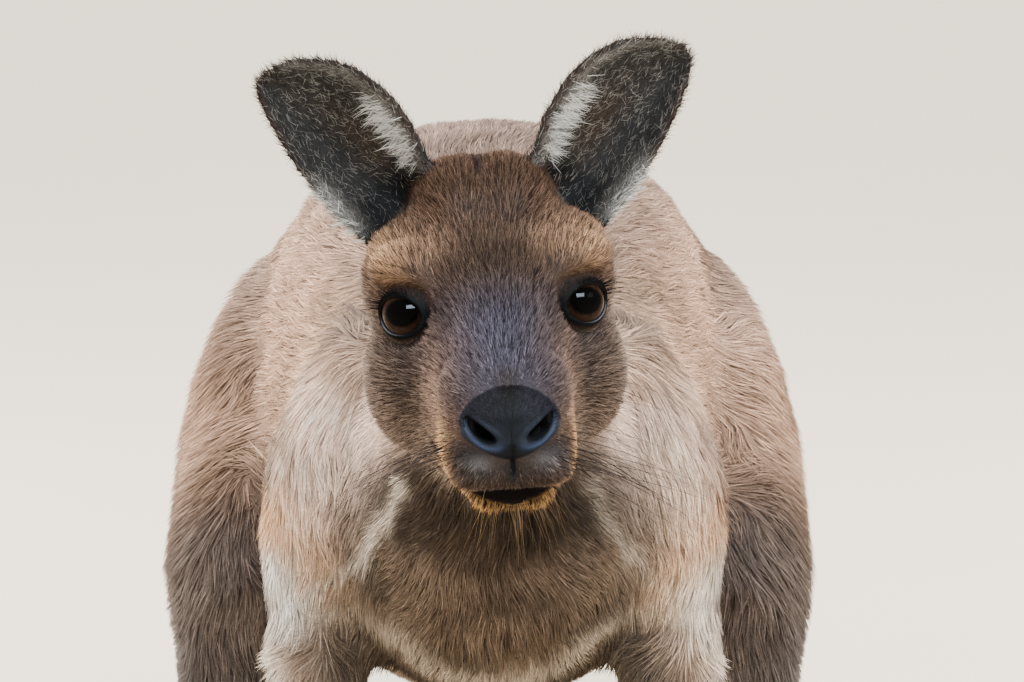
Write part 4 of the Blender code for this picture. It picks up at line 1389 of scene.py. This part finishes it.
# a triangle's first corner decides the piece and whether its fur is short
owner = triangles[chosen][:, 0]
root, up, way = (at_roots(values, chosen, weights) for values in (points, normals, flow))
up, way = unit(up), unit(way)
length = at_roots(hair_length * shorter, chosen, weights) * rng.uniform(0.75, 1.2, len(chosen))
width = at_roots(hair_width, chosen, weights) * rng.uniform(0.75, 1.25, len(chosen))
deep = at_roots(depth * shorter, chosen, weights) * rng.uniform(0.65, 1.0, len(chosen))
tint = at_roots(colour, chosen, weights)
is_short = within("head", "lower_jaw", "ear", "hand", "foot")[owner]
print(len(owner), "roots")

# %% [markdown]
# Each piece is grown from its own roots. A slot name is picked for the parts of the body that are darkest,
# but grow doesn't use it: every piece gets the same fur material.

# %% Grow the coat
DARK_SLOT = ("hand", "foot", "tail_tip")
FEWEST_HAIRS = 200  # a piece with fewer isn't made
LOWEST_TIP = 0.0004  # no hair dips into the floor


def grow(name, r, u, w, lift, size, breadth, shades, region, slot="coat"):
    """A piece of coat; lift is the share of its length by which a hair's tip stands off the skin."""
    lift = np.clip(lift, 0.04, 0.8)[:, None]
    way = unit(w * np.sqrt(1 - lift**2) + u * lift)
    shape = spikes(r, way, u, size, breadth)
    shape[:, 3, 2] = np.maximum(shape[:, 3, 2], LOWEST_TIP)
    piece = hair_piece(name, shape, shades, w, u, unwrapped(r, region))
    finish_piece(piece, fur_material)
    print(name, len(r), "hairs")


for label in sorted(set(piece_label)):
    picked = np.flatnonzero(piece_label[owner] == label)
    if len(picked) < FEWEST_HAIRS:
        continue
    r, u, base = root[picked], up[picked], tint[picked]
    long_or_short = "short" if is_short[picked].mean() > 0.5 else "long"
    kind = "ear" if label.startswith("ear") else long_or_short
    w = leaning(way[picked], u, r, *GATHER[kind])
    shades = banded(base, *BANDS[kind])
    slot = "coat_dark" if label.startswith(DARK_SLOT) else "coat"
    size = length[picked]
    region = points[piece_label == label]
    grow("coat_" + label, r, u, w, deep[picked] / size, size, width[picked], shades, region, slot)

# %% [markdown]
# The ears carry more than their short coat. White tufts grow from a band inside the inner edge and
# reach across the opening, and a fringe grows along the outer edge near the base.

# %% Ear tufts
TUFT_LENGTH, TUFT_WIDTH, TUFTS_PER_M2 = 0.0115, 0.00050, 1.5e6
band = inside_ear * bump(from_inner_edge, 0.0085, 0.0032)
band = band * step(ear_length, 0.08, 0.20) * step(ear_length, 0.60, 0.36)
fringe = bump(from_outer_edge, 0.0015, 0.0030)
fringe = fringe * step(ear_length, 0.0, 0.08) * step(ear_length, 0.46, 0.28)
for side, sign in SIDES.items():
    here = (points[:, 0] * sign > 0) * on_ear
    axis = unit(ear_tips[side][1] - ear_tips[side][0])
    picked, weights = spread(TUFTS_PER_M2 * np.maximum(band, 0.45 * fringe) * here)
    kept = (points, normals, to_middle, fringe - band)
    r, u, inward, is_fringe = (at_roots(values, picked, weights) for values in kept)
    u = unit(u)
    outward = np.where((is_fringe > 0)[:, None], 0.45 * axis - 0.5 * inward, 0.30 * axis - 1.0 * inward)
    w = leaning(outward, u, r, *GATHER["tuft"])
    size = TUFT_LENGTH * rng.uniform(0.6, 1.2, len(r)) * np.where(is_fringe > 0, 0.75, 1.0)
    lift = np.where(is_fringe > 0, 0.12, rng.uniform(0.12, 0.34, len(r)))
    shades = banded(np.tile((0.84, 0.86, 0.85), (len(r), 1)), *BANDS["tuft"])
    breadth = TUFT_WIDTH * rng.uniform(0.7, 1.2, len(r))
    grow("coat_ear_tufts_" + side, r, u, w, lift, size, breadth, shades, r)

# %% [markdown]
# The top of the nose has a velvet of its own, too short to hide the leather's shape. Its roots are
# drawn from the pad's own points, each as often as the area round it asks for.

# %% Velvet on the nose
VELVET_COUNT, VELVET_LENGTH, VELVET_WIDTH = 14000, 0.0025, 0.00024
nose_normals = unit(normals_of(nose.data))
velvety = step(on_nose[:, 2], 0.001, 0.009) * (1 - nose_hole) * (on_nose[:, 1] < 0.003)
velvety = velvety * (1 - 0.8 * nose_fold)
cell_area = np.sin(nose_off) * nose_off**0.3  # its points lie closer together towards its front
share = np.cumsum(velvety * cell_area)
picked = np.searchsorted(share, rng.random(VELVET_COUNT) * share[-1])
r, u = nose_points[picked] + rng.normal(0, 0.0002, (VELVET_COUNT, 3)), nose_normals[picked]
outward = turn_from_head(unit(on_nose[picked] - (0, 0.002, -0.006)))
w = leaning(outward, u, r, *GATHER["velvet"])
size = VELVET_LENGTH * rng.uniform(0.7, 1.2, VELVET_COUNT)
lift, breadth = np.full(VELVET_COUNT, 0.30), np.full(VELVET_COUNT, VELVET_WIDTH)
base = mix((0.008, 0.008, 0.012), (0.002, 0.002, 0.002), column[picked, None])
grow("coat_nose", r, u, w, lift, size, breadth, banded(base, *BANDS["velvet"]), r)
coat = [piece.data for piece in bpy.data.objects if piece.name.startswith("coat_")]
print("coat triangles", sum(len(mesh.polygons) for mesh in coat))

# %% [markdown]
# ## Whiskers and lashes
# Whiskers are single stiff hairs that stand out of the fur. A curve with a bevel would do, but one
# mesh of tapering tubes that droop towards their tips is lighter. They grow on the muzzle, over
# each eye, on the cheeks and, paler and shorter, under the chin.

# %% Whiskers
STRAND_RINGS, STRAND_SIDES = 9, 4


def strands(name, root, way, length, thick, droop, colours):
    """Tapering tubes, closed at both ends, as one object; droop and colours may be one for all."""
    count = len(root)
    droop, colours = np.broadcast_to(droop, way.shape), np.broadcast_to(colours, way.shape)
    t = np.linspace(0, 1, STRAND_RINGS)[None, :, None]
    spine = root[:, None] + (way[:, None] * t + droop[:, None] * t**2) * length[:, None, None]
    ahead = unit(np.gradient(spine, axis=1))
    aside = unit(np.cross(ahead, (0.13, 0.31, 0.94)))
    over = np.cross(ahead, aside)
    radius = thick * MM * (1 - 0.85 * t)
    angles = circle(STRAND_SIDES)
    rings = [spine + radius * (aside * math.cos(a) + over * math.sin(a)) for a in angles]
    shape = np.stack(rings, axis=2).reshape(count, -1, 3)
    first = np.array([range(STRAND_SIDES)])[:, ::-1]
    last = first[:, ::-1] + (STRAND_RINGS - 1) * STRAND_SIDES
    faces = np.concatenate((tube_faces(STRAND_RINGS, STRAND_SIDES), first, last))
    all_faces = (faces[None] + np.arange(count)[:, None, None] * shape.shape[1]).reshape(-1, 4)
    piece = mesh_object(name, shape.reshape(-1, 3), all_faces)
    paint(piece.data, np.repeat(colours, shape.shape[1], axis=0))
    finish_piece(piece, fur_material)
    print(name, count, "strands")


def scattered(low, high, count):
    """Places in a box of the head's left half, in head axes."""
    return rng.uniform(0, 1, (count, 3)) * (np.array(high) - low) + low


# what grows, the box it grows in (two corners), how many, the way they point, lengths, thickness
WHISKERS = (
    ("muzzle", (16, -120, -64), (36, -85, -40), 24, (0.85, -0.25, -0.25), (0.035, 0.075), 0.20),
    ("brow", (30, -20, 24), (46, 5, 32), 6, (0.45, -0.45, 0.65), (0.030, 0.055), 0.17),
    ("cheek", (46, -30, -45), (56, 0, -30), 4, (0.90, -0.30, -0.20), (0.035, 0.055), 0.17),
)
CHIN_HAIRS = 40
head_points = np.flatnonzero(on_head).tolist()


def scattered(low, high, count, sign=1):
    """Points of the head's skin near places in a box, in millimetres along the head's axes."""
    low, high = np.array(low) * MM, np.array(high) * MM
    places = rng.uniform(0, 1, (count, 3)) * (high - low) + low
    return nearest_of(head_points, from_head(places * (sign, 1, 1)))


for group_name, low, high, count, toward, lengths, thick in WHISKERS:
    for side, sign in SIDES.items():
        at = scattered(low, high, count, sign)
        way = turn_from_head(np.array(toward) * (sign, 1, 1)) + 0.45 * normals[at]
        way = unit(way + rng.normal(0, 0.16, (count, 3)))
        droop = np.array((0.0, 0.10, -0.30)) * rng.uniform(0.3, 1.3, (count, 1))
        dark = np.array((0.018, 0.013, 0.011)) * rng.uniform(0.6, 1.8, (count, 1))
        name, size = "whiskers_" + group_name + "_" + side, rng.uniform(*lengths, count)
        strands(name, points[at], way, size, thick, droop, dark)

at = scattered((-26, -115, -88), (26, -70, -76), CHIN_HAIRS)
way = turn_from_head(to_head(points[at]) * (30, 0, 0) - (0, 0.55, 0.75))
way = unit(way + rng.normal(0, 0.15, (CHIN_HAIRS, 3)))
pale = np.array((0.34, 0.22, 0.11)) * rng.uniform(0.6, 1.2, (CHIN_HAIRS, 1))
size = rng.uniform(0.012, 0.030, CHIN_HAIRS)
strands("whiskers_chin", points[at], way, size, 0.055, (0.0, 0.10, -0.20), pale)

# %% [markdown]
# The lashes are short tubes along the upper lid's outer half, longest at the outer corner. They
# start on the lid's rim and point out and along the gaze.

# %% Lashes
LASHES = 36
for side, sign in SIDES.items():
    rim_at, away, gaze, turn = lash_roots[side]
    outer = 0.15 + 1.9 * (np.arange(LASHES) + rng.random(LASHES)) / LASHES
    angle = outer if sign > 0 else math.pi - outer
    at = np.round(angle / (2 * math.pi) * len(turn)).astype(int) % len(turn)
    way = unit(0.85 * away[at] + 0.42 * gaze + rng.normal(0, 0.10, (LASHES, 3)))
    size = 0.0095 * (1 - 0.45 * step(outer, 0.6, 1.9)) * rng.uniform(0.7, 1.2, LASHES)
    droop, black = 0.25 * gaze - (0, 0, 0.15), (0.006, 0.005, 0.005)
    strands("lashes_" + side, rim_at[at], way, size, 0.26, droop, black)

# %% [markdown]
# ## Floor, lamps and camera
# The model stands on a wide pale floor in a pale world, as in a bright hall. The floor is a single
# square, so wide that its edge is never seen, and is only a stage: it isn't part of the model.

# %% Floor and world
FLOOR_HALF = 40.0
corners = np.array([(-1, -1, 0), (1, -1, 0), (1, 1, 0), (-1, 1, 0)], float) * FLOOR_HALF
floor = mesh_object("floor", corners, np.array([[0, 1, 2, 3]]), smooth=False)
floor_material = Material("pale floor", Roughness=0.9, Specular_IOR_Level=0.1)
clouds = floor_material.noise(3.0, 3.0)
pale = floor_material.blend(clouds, (0.68, 0.61, 0.50, 1), (0.72, 0.65, 0.54, 1))
floor_material.set("Base Color", pale)
floor.data.materials.append(floor_material.made)

world = bpy.data.worlds.new("pale room")
world.use_nodes = True
background = world.node_tree.nodes["Background"]
background.inputs["Color"].default_value = (0.96, 0.97, 1.0, 1)
background.inputs["Strength"].default_value = 1.05
bpy.context.scene.world = world
print("floor", 2 * FLOOR_HALF, "m wide")

# %% [markdown]
# A high sun, as soft as a hazy sky, lights everything from above. A key lamp stands in front and
# above, one weak lamp on each side fills the face's shadows, and one strong lamp on each side
# lights the flanks and the back. The catch light makes only the highlights of what is wet, and the
# side lamps make none, so the eyes show one clear window.

# %% Lamps
#    name           where               aimed at          size         watts  colour        unseen by
LAMPS = (
    ("key above", (1.7, -1.6, 1.4), (0, -0.7, 0.45), (0.9, 0.6), 25, (1.0, 0.98, 0.95), None),
    ("fill left", (2.0, -1.9, 0.7), (0, -0.5, 0.35), (1.4, 1.0), 17, (1.0, 0.97, 0.93), "glossy"),
    ("flank left", (2.3, 0.7, 1.1), (0, -0.2, 0.35), (1.2, 1.2), 105, (1.0, 0.95, 0.88), "glossy"),
    ("fill right", (-2.0, -1.9, 0.7), (0, -0.5, 0.35), (1.4, 1.0), 9, (1.0, 0.97, 0.93), "glossy"),
    ("flank right", (-2.3, 0.7, 1.1), (0, -0.2, 0.35), (1.2, 1.2), 155, (1.0, 0.95, 0.88), "glossy"),
    ("catch light", (0.24, -1.92, 1.41), (0, -0.76, 0.49), (0.88, 0.42), 560, (0.74, 0.87, 1.0), "diffuse"),
)


def put(name, data, place, ahead):
    """An object that looks along a direction, as lamps and cameras do."""
    obj = bpy.data.objects.new(name, data)
    obj.location = place
    obj.rotation_euler = Vector(ahead).to_track_quat("-Z", "Y").to_euler()
    bpy.context.scene.collection.objects.link(obj)
    return obj


for name, place, aim, size, watts, lamp_colour, unseen_by in LAMPS:
    light = bpy.data.lights.new(name, "AREA")
    light.shape = "RECTANGLE"
    light.size, light.size_y = size
    light.energy = watts
    light.color = lamp_colour
    lamp = put(name, light, place, Vector(aim) - Vector(place))
    if unseen_by:
        setattr(lamp, "visible_" + unseen_by, False)
sun = bpy.data.lights.new("high sky", "SUN")
sun.energy = 7.0
sun.angle = math.radians(40)
sun.color = (1.0, 0.96, 0.90)
put("high sky", sun, (0, 0, 0), (0.16, 0.02, -1.0))
print(len(LAMPS), "area lamps and a sun")

# %% [markdown]
# The camera looks down at the face from two metres away through a long lens, which keeps the muzzle
# from looking too large beside the ears.

# %% Camera
LENS, PITCH, DISTANCE = 140, math.radians(9), 2.0
AIM_RIGHT, AIM_DROP = 0.0095, 0.0171  # the eyes' middle is this far left of and above the centre
forward = Vector((0, math.cos(PITCH), -math.sin(PITCH)))
upward = Vector((0, math.sin(PITCH), math.cos(PITCH)))
between_eyes = Vector(sum(eye_middles.values()) / 2)
stand = between_eyes + Vector((AIM_RIGHT, 0, 0)) - upward * AIM_DROP - forward * DISTANCE
camera = put("camera", bpy.data.cameras.new("camera"), stand, forward)
camera.data.lens = LENS
camera.data.sensor_width = 36
camera.data.clip_end = 200
bpy.context.scene.camera = camera
print("camera at", [round(c, 3) for c in camera.location])
